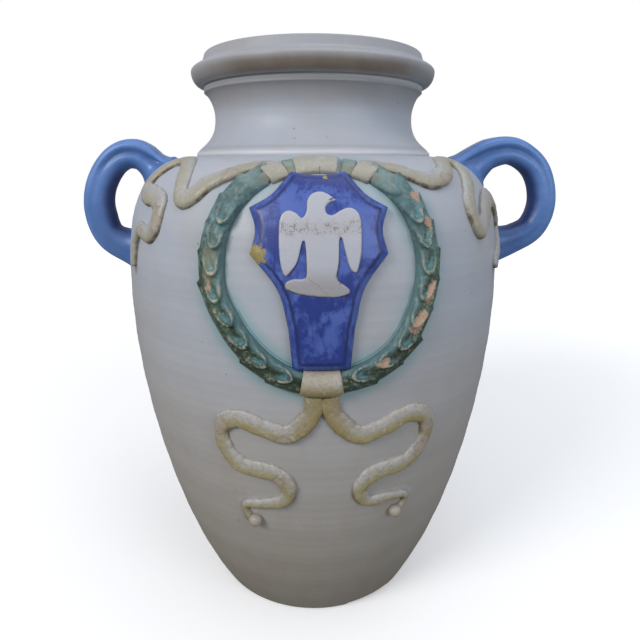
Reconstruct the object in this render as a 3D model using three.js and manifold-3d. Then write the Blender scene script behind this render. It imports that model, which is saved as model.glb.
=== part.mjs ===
// A large glazed earthenware urn, about 760 mm tall: a thrown, hollow body in
// stacked sections, a waisted neck with a half-round rim, two pulled loop
// handles, and moulded ornament laid on the front. The ornament is a laurel
// wreath bound by bands, a horse-head shield with a displayed eagle, and long
// ribbons that flutter over the shoulder and down the front.
//
// Millimetres, +Z up. The origin is the centre of the underside, the ornament
// faces -Y and the handles stand at -X and +X.
//
// Places on the outside of the wall are given as an azimuth in degrees from the
// front, positive towards +X, and a climb in mm measured up the wall's surface
// from the foot. A drop is measured down that surface from the neck's foot, and a
// rise up it from the middle of the wreath, so the ornament keeps its place under
// the neck when the body's sizes change.

import * as THREE from 'three';
import { mergeVertices } from 'three/addons/utils/BufferGeometryUtils.js';
import Module from 'manifold-3d';

const wasm = await Module();
wasm.setup();

// Thrown body
const FOOT_RADIUS = 158;
const BELLY_RADIUS = 259.5;
const FLOOR_THICKNESS = 20;
const LOWER_SECTION_HEIGHT = 210;
const BELLY_SECTION_HEIGHT = 215;
const SHOULDER_HEIGHT = 191.5;
const WALL = 18;
const FACETS = 40;

// Neck
const NECK_FOOT_RADIUS = 158.5;
const NECK_FOOT_STEP = 3;
const NECK_FOOT_BORE = 132;
const NECK_WAIST_RADIUS = 133.7;
const NECK_WAIST_RISE = 48.5;
const NECK_TOP_RADIUS = 145.2;
const NECK_TOP_RISE = 31;
const FILLET_RADIUS = 150;
const FILLET_HEIGHT = 8;

// Rim
const RIM_CORE_RADIUS = 148.5;
const RIM_ROLL = 13;
const ROLL_UNDER = 14;
const ROLL_OVER = 10;
const LIP_RADIUS = 146.5;
const LIP_TOP_RADIUS = 144.5;
const LIP_HEIGHT = 12;
const LIP_EDGE = 3;
const MOUTH_RADIUS = 127;

// Handles: each route runs from the upper root outwards, round and back down,
// as mm outwards and mm upwards from the upper root's place on the wall.
const HANDLE_THICKNESS = 35;
const HANDLE_DEPTH = 42;
const FLUTE_DEPTH = 4;
const ROOT_FLARE = 1.25;
const HANDLE_TOP_DROP = 54.4;
const HANDLE_FOOT_DROP = 192.4;
const LEFT_HANDLE_ROUTE = [[34, 18], [65, 10], [89, -22], [96, -60], [82, -99]];
const RIGHT_HANDLE_ROUTE = [
  [40, 20], [78, 20], [110, -4], [124, -47], [113, -86], [81, -107],
];

// Ornament
const SEAT_GAP = 0.3;
const BED_DEPTH = 5;
const WREATH_DROP = 164.4;
const WREATH_RADIUS = 120;
const WREATH_WIDTH = 31;
const WREATH_RELIEF = 14;
const LEAF_PITCH = 22;
const LEAF_STEP = 2.4;
const BAND_CLEARANCE = 1.5;
const TOP_BAND_LENGTH = 48;
const BOTTOM_BAND_LENGTH = 44;
const SIDE_BAND_LENGTH = 30;
const SIDE_BAND_TURN = 27;
const SHIELD_RELIEF = 9;
const EAGLE_RELIEF = 1.8;
const RIBBON_WIDTH = 19;
const RIBBON_RELIEF = 5;
const RIBBON_STEP = 10;
const RIBBON_BALL_RADIUS = 9;
const BALL_STAND = 0.45;

// Shield, right half from the top centre down to the foot: mm across, mm of rise
const SHIELD_TOP_DIP = [0, 94];
const SHIELD_TOP_HORN = [27, 99];
const SHIELD_UPPER_HOLLOW = [46, 73];
const SHIELD_UPPER_HORN = [70, 58];
const SHIELD_SIDE_HOLLOW = [64, 36];
const SHIELD_LOWER_HORN = [70, 12];
const SHIELD_LOWER_HOLLOW = [44, -22];
const SHIELD_WAIST = [34, -62];
const SHIELD_FOOT = [30, -102];

// Ribbons, as azimuth in degrees and mm of rise, from the wreath outwards. Each
// shoulder ribbon is made in three lengths that meet at the points named last.
const LEFT_FLUTTER_ROUTE = [
  [-17, 124], [-22, 112], [-27, 88], [-32, 64], [-37.5, 60], [-40, 76], [-42.5, 100], [-47, 124],
  [-52, 140], [-57.5, 138], [-62, 122], [-61, 100], [-54, 78], [-46, 62], [-43.6, 43], [-45.5, 23],
  [-50, 16], [-54.5, 24], [-59, 28], [-61.5, 14], [-59, -10], [-57.5, -40],
];
const LEFT_FLUTTER_JOINS = [8, 18];
const RIGHT_FLUTTER_ROUTE = [
  [17, 124], [21, 108], [27, 90], [33, 80], [39, 87], [43.5, 105], [47.5, 124],
  [51.5, 139], [57, 138], [60, 122], [54, 98], [48, 77], [44.5, 56], [44.5, 34],
  [48, 20], [52.5, 32], [57, 50], [62, 56], [65.5, 44], [64, 22], [59, 0], [56.5, -40],
];
const RIGHT_FLUTTER_JOINS = [7, 17];
const LOWER_LEFT_ROUTE = [[-2.3, -138], [-2.6, -162], [-7, -188], [-14, -181], [-21.5, -170], [-27, -183],
  [-27.5, -212], [-23, -238], [-13, -239], [-7.6, -259], [-11, -286], [-18, -291], [-22, -302], [-21, -318]];
const LOWER_RIGHT_ROUTE = [[2.3, -138], [3.2, -164], [9, -191], [16.5, -182], [23, -170], [29, -182],
  [29.2, -214], [24, -236], [15, -238], [10.3, -264], [13, -289], [20, -289], [26, -299], [25, -314]];
const LEFT_BALL = [-19.5, -323];
const RIGHT_BALL = [23, -319];

// The eagle faces its right wing with its head turned towards +X: mm across and
// mm of rise, round its outline from the crown of the head
const EAGLE_OUTLINE = [
  [-2, 75], [6, 73], [15, 65], [9, 62], [6, 56], [12, 51], [19, 55], [27, 58], [35, 53],
  [38, 40], [38, 16], [35, -3], [31, -6], [25, 2], [18, 28], [17, 5], [15, -10],
  [24, -17], [29, -24], [14, -28], [-2, -29], [-20, -26], [-33, -19], [-26, -13], [-16, -10],
  [-15, 0], [-17, 25], [-23, 5], [-31, -6], [-37, -6], [-40, 10], [-41, 38], [-36, 51],
  [-29, 55], [-21, 50], [-13, 48], [-10, 56], [-12, 66], [-8, 73],
];

const BELLY_HEIGHT = FLOOR_THICKNESS + LOWER_SECTION_HEIGHT + BELLY_SECTION_HEIGHT;
const NECK_BASE = BELLY_HEIGHT + SHOULDER_HEIGHT;
const WAIST_HEIGHT = NECK_BASE + NECK_WAIST_RISE;
const NECK_TOP = WAIST_HEIGHT + NECK_TOP_RISE;
const RIM_BASE = NECK_TOP + FILLET_HEIGHT;
const ROLL_HEIGHT = RIM_BASE + ROLL_UNDER;
const LIP_BASE = ROLL_HEIGHT + ROLL_OVER;
const LIP_TOP = LIP_BASE + LIP_HEIGHT;

const HALF_TURN = 180;
const radians = THREE.MathUtils.degToRad;

function glaze(color, roughness = 0.45) {
  return new THREE.MeshStandardMaterial({ color, roughness, metalness: 0 });
}

const creamGlaze = glaze(0xb4b2b2, 0.5);
const blueGlaze = glaze(0x4a72ad, 0.45);
const cobaltGlaze = glaze(0x3b4fae, 0.45);
const leafGlaze = glaze(0x4f7f78, 0.5);
const whiteGlaze = glaze(0xb9b8c0, 0.5);
const strawGlaze = glaze(0xb9b08a, 0.5);

// Outside of the wall, from the foot to the neck: two smooth sweeps that meet
// upright at the belly. The shares only set how full each sweep is.
const lowerSweep = new THREE.CubicBezierCurve(
  new THREE.Vector2(FOOT_RADIUS, 0),
  new THREE.Vector2(THREE.MathUtils.lerp(FOOT_RADIUS, BELLY_RADIUS, 0.545), 0.212 * BELLY_HEIGHT),
  new THREE.Vector2(BELLY_RADIUS, 0.664 * BELLY_HEIGHT),
  new THREE.Vector2(BELLY_RADIUS, BELLY_HEIGHT),
);
const upperSweep = new THREE.CubicBezierCurve(
  new THREE.Vector2(BELLY_RADIUS, BELLY_HEIGHT),
  new THREE.Vector2(BELLY_RADIUS, BELLY_HEIGHT + 0.627 * SHOULDER_HEIGHT),
  new THREE.Vector2(
    THREE.MathUtils.lerp(NECK_FOOT_RADIUS, BELLY_RADIUS, 0.831),
    BELLY_HEIGHT + 0.97 * SHOULDER_HEIGHT,
  ),
  new THREE.Vector2(NECK_FOOT_RADIUS, NECK_BASE),
);
const wall = new THREE.CurvePath();
wall.add(lowerSweep);
wall.add(upperSweep);
const WALL_SAMPLES = 600;
wall.arcLengthDivisions = WALL_SAMPLES;
lowerSweep.arcLengthDivisions = WALL_SAMPLES;
upperSweep.arcLengthDivisions = WALL_SAMPLES;
const WALL_CLIMB = wall.getLength();
const BELLY_CLIMB = lowerSweep.getLength();
const WREATH_CLIMB = WALL_CLIMB - WREATH_DROP;

// Radius, height and outward normal of the wall at a climb
function wallAt(climb) {
  const share = THREE.MathUtils.clamp(climb / WALL_CLIMB, 0, 1);
  const point = wall.getPointAt(share);
  const tangent = wall.getTangentAt(share);
  return { radius: point.x, height: point.y, normal: new THREE.Vector2(tangent.y, -tangent.x) };
}

// Climb at which the lower sweep reaches a height
function climbAtHeight(height) {
  let low = 0;
  let high = BELLY_CLIMB;
  for (let i = 0; i < 40; i += 1) {
    const middle = (low + high) / 2;
    if (wallAt(middle).height < height) low = middle;
    else high = middle;
  }
  return (low + high) / 2;
}

function spread(from, to, steps) {
  return Array.from({ length: steps + 1 }, (_, i) => from + ((to - from) * i) / steps);
}

// The rings of the faceted wall, as climbs, from the foot to the neck
const floorClimb = climbAtHeight(FLOOR_THICKNESS);
const lowerClimb = climbAtHeight(FLOOR_THICKNESS + LOWER_SECTION_HEIGHT);
const floorRings = [0, floorClimb];
const lowerRings = spread(floorClimb, lowerClimb, 5);
const bellyRings = spread(lowerClimb, BELLY_CLIMB, 4);
const shoulderRings = spread(BELLY_CLIMB, WALL_CLIMB, 10);
const allRings = [
  ...floorRings, ...lowerRings.slice(1), ...bellyRings.slice(1), ...shoulderRings.slice(1),
];

// Point in space on the wall, lifted off it along its normal
function onWall(azimuth, climb, lift = 0) {
  const { radius, height, normal } = wallAt(climb);
  const reach = radius + lift * normal.x;
  const turn = radians(azimuth);
  const lifted = height + lift * normal.y;
  return new THREE.Vector3(reach * Math.sin(turn), -reach * Math.cos(turn), lifted);
}

function wallNormal(azimuth, climb) {
  const { normal } = wallAt(climb);
  const turn = radians(azimuth);
  return new THREE.Vector3(normal.x * Math.sin(turn), -normal.x * Math.cos(turn), normal.y);
}

// Point on the front of the wall, given by mm across instead of an azimuth
function onFront(across, climb, lift = 0) {
  return onWall(THREE.MathUtils.radToDeg(across / wallAt(climb).radius), climb, lift);
}

// One closed body with shared vertices and faces that point out
function tidy(geometry) {
  geometry.deleteAttribute('normal');
  geometry.deleteAttribute('uv');
  const merged = mergeVertices(geometry, 1e-4);
  const { index } = merged;
  const position = merged.getAttribute('position');
  const corners = [new THREE.Vector3(), new THREE.Vector3(), new THREE.Vector3()];
  const kept = [];
  let volume = 0;
  for (let i = 0; i < index.count; i += 3) {
    const face = [index.getX(i), index.getX(i + 1), index.getX(i + 2)];
    if (new Set(face).size === 3) {
      face.forEach((vertex, k) => corners[k].fromBufferAttribute(position, vertex));
      volume += corners[0].dot(corners[1].clone().cross(corners[2])) / 6;
      kept.push(face);
    }
  }
  merged.setIndex(kept.flatMap(([a, b, c]) => (volume < 0 ? [a, c, b] : [a, b, c])));
  return merged;
}

function solid(geometry) {
  const shape = tidy(geometry);
  return new wasm.Manifold(new wasm.Mesh({
    numProp: 3,
    vertProperties: Float32Array.from(shape.getAttribute('position').array),
    triVerts: Uint32Array.from(shape.index.array),
  }));
}

function geometryOf(manifold) {
  const mesh = manifold.getMesh();
  const geometry = new THREE.BufferGeometry();
  const corners = Float32Array.from(mesh.vertProperties);
  geometry.setAttribute('position', new THREE.BufferAttribute(corners, 3));
  geometry.setIndex(Array.from(mesh.triVerts));
  return geometry;
}

// A profile of radius and height turned about the urn's axis
function turned(points) {
  const profile = points.map(([radius, height]) => new THREE.Vector2(radius, height));
  const lathe = new THREE.LatheGeometry(profile, FACETS);
  lathe.rotateX(Math.PI / 2);
  return lathe;
}

function turnedRing(points) {
  return turned([...points, points[0]]);
}

// Rings of points joined one after another, with flat ends unless they close up
function loft(rings, closesUp = false) {
  const count = rings[0].length;
  const points = rings.flat();
  const index = [];
  const joins = closesUp ? rings.length : rings.length - 1;
  for (let i = 0; i < joins; i += 1) {
    const here = i * count;
    const next = ((i + 1) % rings.length) * count;
    for (let j = 0; j < count; j += 1) {
      const k = (j + 1) % count;
      index.push(here + j, next + j, next + k, here + j, next + k, here + k);
    }
  }
  if (!closesUp) {
    const lastRing = (rings.length - 1) * count;
    const centres = [rings[0], rings[rings.length - 1]].map((ring) => (
      ring.reduce((sum, point) => sum.add(point), new THREE.Vector3()).divideScalar(count)));
    points.push(...centres);
    for (let j = 0; j < count; j += 1) {
      const k = (j + 1) % count;
      index.push(points.length - 2, j, k);
      index.push(points.length - 1, lastRing + k, lastRing + j);
    }
  }
  const geometry = new THREE.BufferGeometry();
  const corners = points.flatMap((point) => point.toArray());
  geometry.setAttribute('position', new THREE.Float32BufferAttribute(corners, 3));
  geometry.setIndex(index);
  return geometry;
}

// The whole urn body without its hollow, swollen by a lift
function swollenBody(lift) {
  const skin = allRings.map((climb) => {
    const { radius, height, normal } = wallAt(climb);
    return [radius + lift * normal.x, height + lift * normal.y];
  });
  const foot = [skin[0][0], -lift - 1];
  return solid(turned([[0, foot[1]], foot, ...skin, [0, skin[skin.length - 1][1]]]));
}

const seat = swollenBody(SEAT_GAP);

function innerWall(climb) {
  const { radius, height, normal } = wallAt(climb);
  return [radius - WALL / normal.x, height];
}

function outerWall(climb) {
  const { radius, height } = wallAt(climb);
  return [radius, height];
}

function curvePoints(curve, steps) {
  return curve.getPoints(steps).map((point) => [point.x, point.y]);
}

// Sections of the thrown body
function baseSlab() {
  return turned([[0, 0], ...floorRings.map(outerWall), [0, FLOOR_THICKNESS]]);
}

function wallSection(rings) {
  const inner = [rings[rings.length - 1], rings[Math.floor(rings.length / 2)], rings[0]];
  return turnedRing([...rings.map(outerWall), ...inner.map(innerWall)]);
}

function shoulder() {
  const [bellyBore] = innerWall(BELLY_CLIMB);
  const inner = new THREE.CubicBezierCurve(
    new THREE.Vector2(bellyBore, BELLY_HEIGHT),
    new THREE.Vector2(bellyBore, BELLY_HEIGHT + 0.61 * (SHOULDER_HEIGHT - WALL)),
    new THREE.Vector2(THREE.MathUtils.lerp(NECK_FOOT_BORE, bellyBore, 0.84), NECK_BASE - WALL),
    new THREE.Vector2(NECK_FOOT_BORE, NECK_BASE - WALL),
  );
  const outside = shoulderRings.map(outerWall);
  return turnedRing([...outside, [NECK_FOOT_BORE, NECK_BASE], ...curvePoints(inner, 5).reverse()]);
}

function neck() {
  const stepTop = NECK_BASE + NECK_FOOT_STEP;
  const skirt = new THREE.CubicBezierCurve(
    new THREE.Vector2(NECK_FOOT_RADIUS, stepTop),
    new THREE.Vector2(
      THREE.MathUtils.lerp(NECK_FOOT_RADIUS, NECK_WAIST_RADIUS, 0.56),
      stepTop + 0.26 * NECK_WAIST_RISE,
    ),
    new THREE.Vector2(NECK_WAIST_RADIUS, WAIST_HEIGHT - 0.5 * NECK_WAIST_RISE),
    new THREE.Vector2(NECK_WAIST_RADIUS, WAIST_HEIGHT),
  );
  const flare = new THREE.CubicBezierCurve(
    new THREE.Vector2(NECK_WAIST_RADIUS, WAIST_HEIGHT),
    new THREE.Vector2(NECK_WAIST_RADIUS, WAIST_HEIGHT + 0.3 * NECK_TOP_RISE),
    new THREE.Vector2(
      THREE.MathUtils.lerp(NECK_WAIST_RADIUS, NECK_TOP_RADIUS, 0.4),
      NECK_TOP - 0.14 * NECK_TOP_RISE,
    ),
    new THREE.Vector2(NECK_TOP_RADIUS, NECK_TOP),
  );
  const waistBore = NECK_WAIST_RADIUS - WALL;
  const bore = new THREE.SplineCurve([
    new THREE.Vector2(MOUTH_RADIUS, RIM_BASE),
    new THREE.Vector2(waistBore, WAIST_HEIGHT),
    new THREE.Vector2(NECK_FOOT_BORE, NECK_BASE),
  ]);
  return turnedRing([
    [NECK_FOOT_RADIUS, NECK_BASE],
    ...curvePoints(skirt, 5),
    ...curvePoints(flare, 3).slice(1),
    [FILLET_RADIUS, RIM_BASE],
    ...curvePoints(bore, 4),
  ]);
}

// The rim's half-round, which is fuller below its middle than above, and its lip
function rim() {
  const middle = [RIM_CORE_RADIUS, ROLL_HEIGHT];
  const under = new THREE.EllipseCurve(...middle, RIM_ROLL, ROLL_UNDER, -0.46 * Math.PI, 0);
  const over = new THREE.EllipseCurve(...middle, RIM_ROLL, ROLL_OVER, 0, 0.44 * Math.PI);
  return turnedRing([
    [FILLET_RADIUS, RIM_BASE],
    ...curvePoints(under, 4).slice(1),
    ...curvePoints(over, 4).slice(1),
    [LIP_RADIUS, LIP_BASE + LIP_EDGE],
    [LIP_TOP_RADIUS, LIP_TOP - LIP_EDGE],
    [LIP_TOP_RADIUS - LIP_EDGE, LIP_TOP],
    [MOUTH_RADIUS + LIP_EDGE, LIP_TOP],
    [MOUTH_RADIUS, LIP_TOP - LIP_EDGE],
    [MOUTH_RADIUS, RIM_BASE],
  ]);
}

// A pulled handle: a strap with a flute down each broad side, flared at its roots
const FLUTE_MIDDLE = 0.04;
const FLUTE_REACH = 0.3;
const handleSection = [
  [-0.5, -0.28], [-0.33, -0.5], [-0.14, -0.47], [0.04, -0.4], [0.22, -0.47], [0.38, -0.5], [0.5, -0.26],
  [0.5, 0.26], [0.38, 0.5], [0.22, 0.47], [0.04, 0.4], [-0.14, 0.47], [-0.33, 0.5], [-0.5, 0.28],
];

function handle(side, route) {
  const top = wallAt(WALL_CLIMB - HANDLE_TOP_DROP);
  const foot = wallAt(WALL_CLIMB - HANDLE_FOOT_DROP);
  const start = new THREE.Vector2(top.radius, top.height);
  const inset = WALL / 2;
  const points = [
    new THREE.Vector3(start.x - inset, 0, start.y - inset),
    ...route.map(([out, up]) => new THREE.Vector3(start.x + out, 0, start.y + up)),
    new THREE.Vector3(foot.radius - inset, 0, foot.height),
  ];
  const curve = new THREE.CatmullRomCurve3(points, false, 'centripetal');
  const steps = 20;
  const depthAxis = new THREE.Vector3(0, 1, 0);
  const rings = spread(0, 1, steps).map((share) => {
    const centre = curve.getPointAt(share);
    const outward = curve.getTangentAt(share).cross(depthAxis).negate();
    const flare = 1 + (ROOT_FLARE - 1) * Math.abs(2 * share - 1) ** 4;
    return handleSection.map(([out, deep]) => {
      const flute = FLUTE_DEPTH * Math.max(0, 1 - Math.abs(out - FLUTE_MIDDLE) / FLUTE_REACH);
      const half = Math.sign(deep) * (HANDLE_DEPTH / 2 - flute);
      const edge = Math.abs(out) === 0.5 ? 2 * Math.abs(deep) : 1;
      return centre.clone()
        .addScaledVector(outward, out * HANDLE_THICKNESS * flare)
        .addScaledVector(depthAxis, half * edge * flare);
    });
  });
  rings.forEach((ring) => ring.forEach((point) => point.setX(side * point.x)));
  return geometryOf(solid(loft(rings)).subtract(seat));
}

// Sections laid on the wall at a run of stations, each square to its direction
function laidOn(stations, sectionAt, closesUp = false) {
  const rings = stations.map(({ azimuth, climb, direction }, i) => {
    const normal = wallNormal(azimuth, climb);
    const sideways = direction.clone().cross(normal).normalize();
    return sectionAt(i, stations.length - 1).map(([across, lift]) => (
      onWall(azimuth, climb).addScaledVector(sideways, across).addScaledVector(normal, lift)));
  });
  return solid(loft(rings, closesUp));
}

// Domed section of a band, from one edge over the crown to the other, with its bed
function domed(width, relief, bulge = 0) {
  const crown = spread(-80, 80, 6).map((angle, i) => {
    const lobe = i % 2 === 1 ? bulge : 0;
    return [(width / 2) * Math.sin(radians(angle)), relief * Math.cos(radians(angle)) + lobe];
  });
  return [[-width / 2, -BED_DEPTH], ...crown, [width / 2, -BED_DEPTH]];
}

// The wreath's ring, turned from its top: clockwise as seen from the front
function ringPlace(turn) {
  const across = WREATH_RADIUS * Math.sin(radians(turn));
  const climb = WREATH_CLIMB + WREATH_RADIUS * Math.cos(radians(turn));
  return [THREE.MathUtils.radToDeg(across / wallAt(climb).radius), climb];
}

const TURN_NUDGE = 0.05;

function ringStation(turn) {
  const [azimuth, climb] = ringPlace(turn);
  const before = onWall(...ringPlace(turn - TURN_NUDGE));
  return { azimuth, climb, direction: onWall(...ringPlace(turn + TURN_NUDGE)).sub(before) };
}

function turnOf(length) {
  return THREE.MathUtils.radToDeg(length / WREATH_RADIUS);
}

const FULL_TURN = 2 * HALF_TURN;
const seatTurn = turnOf(SEAT_GAP);
const topBandEnd = turnOf(TOP_BAND_LENGTH / 2);
const sideBandStart = SIDE_BAND_TURN - turnOf(SIDE_BAND_LENGTH / 2);
const sideBandEnd = SIDE_BAND_TURN + turnOf(SIDE_BAND_LENGTH / 2);
const bottomBandStart = HALF_TURN - turnOf(BOTTOM_BAND_LENGTH / 2);

// Leaves overlap along the wreath, so its relief climbs over each and drops
function leafBulge(travel) {
  const share = (travel / LEAF_PITCH) % 1;
  return LEAF_STEP * (share - 0.5);
}

function wreathArc(from, to) {
  const length = radians(Math.abs(to - from)) * WREATH_RADIUS;
  const steps = Math.max(3, Math.round(length / (LEAF_PITCH / 2)));
  const stations = spread(from, to, steps).map(ringStation);
  const section = (i, last) => domed(WREATH_WIDTH, WREATH_RELIEF, leafBulge((i / last) * length));
  return geometryOf(laidOn(stations, section).subtract(seat));
}

function band(from, to) {
  const section = () => domed(WREATH_WIDTH + 2 * BAND_CLEARANCE, WREATH_RELIEF + BAND_CLEARANCE);
  return geometryOf(laidOn(spread(from, to, 5).map(ringStation), section).subtract(seat));
}

// Room that the whole wreath takes up, with the gap that other ornament keeps
const wreathRoom = laidOn(
  spread(0, FULL_TURN, 60).slice(0, -1).map(ringStation),
  () => domed(WREATH_WIDTH + 2 * (BAND_CLEARANCE + SEAT_GAP), WREATH_RELIEF + 2 * BAND_CLEARANCE),
  true,
);

// A flat outline on the front, cut through a layer that follows the wall
function frontPlate(outline, from, to) {
  const corners = outline.map(([across, rise]) => {
    const point = onFront(across, WREATH_CLIMB + rise, from);
    return new THREE.Vector2(point.x, point.z);
  });
  const depth = BELLY_RADIUS + to + 1;
  const prism = new THREE.ExtrudeGeometry(new THREE.Shape(corners), { depth, bevelEnabled: false });
  prism.rotateX(Math.PI / 2);
  return swollenBody(to).subtract(swollenBody(from)).intersect(solid(prism));
}

// Points of a hollow curve between two corners
function hollow(start, middle, end, steps = 4) {
  const curve = new THREE.SplineCurve([start, middle, end].map(([x, y]) => new THREE.Vector2(x, y)));
  return curvePoints(curve, steps).slice(1);
}

function mirrored(half) {
  const right = half.filter(([across]) => across > 0);
  return [...half, ...right.map(([across, rise]) => [-across, rise]).reverse()];
}

function shield() {
  const half = [
    SHIELD_TOP_DIP,
    ...hollow(SHIELD_TOP_DIP, [SHIELD_TOP_HORN[0] / 2, SHIELD_TOP_DIP[1] + 1], SHIELD_TOP_HORN, 3),
    ...hollow(SHIELD_TOP_HORN, SHIELD_UPPER_HOLLOW, SHIELD_UPPER_HORN),
    ...hollow(SHIELD_UPPER_HORN, SHIELD_SIDE_HOLLOW, SHIELD_LOWER_HORN),
    ...hollow(SHIELD_LOWER_HORN, SHIELD_LOWER_HOLLOW, SHIELD_WAIST, 6),
    SHIELD_FOOT,
  ];
  return geometryOf(frontPlate(mirrored(half), SEAT_GAP, SHIELD_RELIEF).subtract(wreathRoom));
}

function eagle() {
  const bed = SHIELD_RELIEF + SEAT_GAP;
  return geometryOf(frontPlate(EAGLE_OUTLINE, bed, bed + EAGLE_RELIEF));
}

// Ribbons
// Stations along the part of a route that lies between two of its points
function routeStations(route, first, last) {
  const places = route.map(([azimuth, rise]) => new THREE.Vector2(azimuth, WREATH_CLIMB + rise));
  const curve = new THREE.SplineCurve(places);
  const steps = (last - first) * 24;
  const fine = spread(first, last, steps).map((point) => curve.getPoint(point / (route.length - 1)));
  const centre = (point) => onWall(point.x, point.y);
  const picked = [0];
  fine.forEach((point, i) => {
    if (centre(point).distanceTo(centre(fine[picked[picked.length - 1]])) >= RIBBON_STEP) picked.push(i);
  });
  return picked.map((i) => ({
    azimuth: fine[i].x,
    climb: fine[i].y,
    direction: centre(fine[Math.min(i + 1, steps)]).sub(centre(fine[Math.max(i - 1, 0)])),
  }));
}

function ribbonSection() {
  const half = RIBBON_WIDTH / 2;
  return [
    [-half, -BED_DEPTH], [-half, 0.55 * RIBBON_RELIEF], [-0.55 * half, RIBBON_RELIEF],
    [0.55 * half, RIBBON_RELIEF], [half, 0.55 * RIBBON_RELIEF], [half, -BED_DEPTH],
  ];
}

function ribbon(route, first = 0, last = route.length - 1) {
  return laidOn(routeStations(route, first, last), ribbonSection).subtract(seat).subtract(wreathRoom);
}

function ball([azimuth, rise], radius) {
  const sphere = new THREE.SphereGeometry(radius, 14, 10);
  const centre = onWall(azimuth, WREATH_CLIMB + rise, radius * BALL_STAND);
  sphere.translate(centre.x, centre.y, centre.z);
  return solid(sphere);
}

function ribbonBall(centre) {
  return geometryOf(ball(centre, RIBBON_BALL_RADIUS).subtract(seat));
}

function lowerRibbon(route, end) {
  return geometryOf(ribbon(route).subtract(ball(end, RIBBON_BALL_RADIUS + SEAT_GAP)));
}

// Assembly
const urn = new THREE.Group();
const vessel = new THREE.Group();
const handles = new THREE.Group();
const ornament = new THREE.Group();
urn.add(vessel, handles, ornament);

function place(group, name, geometry, material) {
  const mesh = new THREE.Mesh(tidy(geometry), material);
  mesh.name = name;
  group.add(mesh);
}

place(vessel, 'base_slab', baseSlab(), creamGlaze);
place(vessel, 'body_lower', wallSection(lowerRings), creamGlaze);
place(vessel, 'body_belly', wallSection(bellyRings), creamGlaze);
place(vessel, 'shoulder', shoulder(), creamGlaze);
place(vessel, 'neck', neck(), creamGlaze);
place(vessel, 'rim', rim(), creamGlaze);

place(handles, 'handle_left', handle(-1, LEFT_HANDLE_ROUTE), blueGlaze);
place(handles, 'handle_right', handle(1, RIGHT_HANDLE_ROUTE), blueGlaze);

const longArc = [sideBandEnd + seatTurn, bottomBandStart - seatTurn];
const shortArc = [topBandEnd + seatTurn, sideBandStart - seatTurn];
place(ornament, 'wreath_left', wreathArc(-longArc[0], -longArc[1]), leafGlaze);
place(ornament, 'wreath_right', wreathArc(...longArc), leafGlaze);
place(ornament, 'wreath_top_left', wreathArc(-shortArc[0], -shortArc[1]), leafGlaze);
place(ornament, 'wreath_top_right', wreathArc(...shortArc), leafGlaze);

place(ornament, 'band_top', band(-topBandEnd, topBandEnd), strawGlaze);
place(ornament, 'band_bottom', band(bottomBandStart, FULL_TURN - bottomBandStart), strawGlaze);
place(ornament, 'band_upper_left', band(-sideBandEnd, -sideBandStart), strawGlaze);
place(ornament, 'band_upper_right', band(sideBandStart, sideBandEnd), strawGlaze);

place(ornament, 'shield', shield(), cobaltGlaze);
place(ornament, 'eagle', eagle(), whiteGlaze);

// Each length of a shoulder ribbon starts a little past the point where the last one ends
const flutterGap = 0.03;

function placeFlutter(side, route, [firstJoin, secondJoin]) {
  const upper = ribbon(route, 0, firstJoin);
  const middle = ribbon(route, firstJoin + flutterGap, secondJoin);
  const tail = ribbon(route, secondJoin + flutterGap);
  place(ornament, `ribbon_upper_${side}`, geometryOf(upper), strawGlaze);
  place(ornament, `ribbon_side_${side}`, geometryOf(middle), strawGlaze);
  place(ornament, `ribbon_tail_${side}`, geometryOf(tail), strawGlaze);
}

placeFlutter('left', LEFT_FLUTTER_ROUTE, LEFT_FLUTTER_JOINS);
placeFlutter('right', RIGHT_FLUTTER_ROUTE, RIGHT_FLUTTER_JOINS);

place(ornament, 'ribbon_lower_left', lowerRibbon(LOWER_LEFT_ROUTE, LEFT_BALL), strawGlaze);
place(ornament, 'ribbon_lower_right', lowerRibbon(LOWER_RIGHT_ROUTE, RIGHT_BALL), strawGlaze);
place(ornament, 'ribbon_ball_left', ribbonBall(LEFT_BALL), strawGlaze);
place(ornament, 'ribbon_ball_right', ribbonBall(RIGHT_BALL), strawGlaze);

export default urn;
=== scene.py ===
"""A large glazed earthenware urn with a laurel wreath, a horned shield, a displayed eagle and long
ribbons in relief.

The urn stands on its foot with the origin at the centre of the underside. The ornament faces -Y and
the handles stand at -X and +X. A place on the outside of the wall is an azimuth in degrees from the
front, positive towards +X, and a climb in metres up the wall's surface from the foot. A rise is a
climb counted from the middle of the wreath.
"""

import math

import bpy
import numpy as np
from mathutils import Euler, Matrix, Vector, geometry, kdtree


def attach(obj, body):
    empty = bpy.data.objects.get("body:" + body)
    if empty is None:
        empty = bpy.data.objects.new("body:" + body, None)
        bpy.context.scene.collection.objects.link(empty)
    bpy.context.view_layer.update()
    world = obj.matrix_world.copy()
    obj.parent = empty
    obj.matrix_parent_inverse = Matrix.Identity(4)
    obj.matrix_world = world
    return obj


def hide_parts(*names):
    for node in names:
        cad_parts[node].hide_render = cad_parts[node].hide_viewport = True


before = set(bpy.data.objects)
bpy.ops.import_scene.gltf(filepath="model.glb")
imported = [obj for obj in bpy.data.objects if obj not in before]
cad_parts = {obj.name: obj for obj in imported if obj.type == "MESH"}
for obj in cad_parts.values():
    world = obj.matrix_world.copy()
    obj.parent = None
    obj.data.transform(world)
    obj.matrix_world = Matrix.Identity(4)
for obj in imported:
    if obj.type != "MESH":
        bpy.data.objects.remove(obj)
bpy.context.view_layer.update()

bl_info = {
    "name": "Laurel urn",
    "version": (1, 0, 0),
    "blender": (4, 5, 0),
    "location": "3D View > Sidebar > Urn",
    "description": "Builds a glazed urn with moulded ornament around its packed model",
    "category": "Object",
}

MM = 0.001


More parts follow.
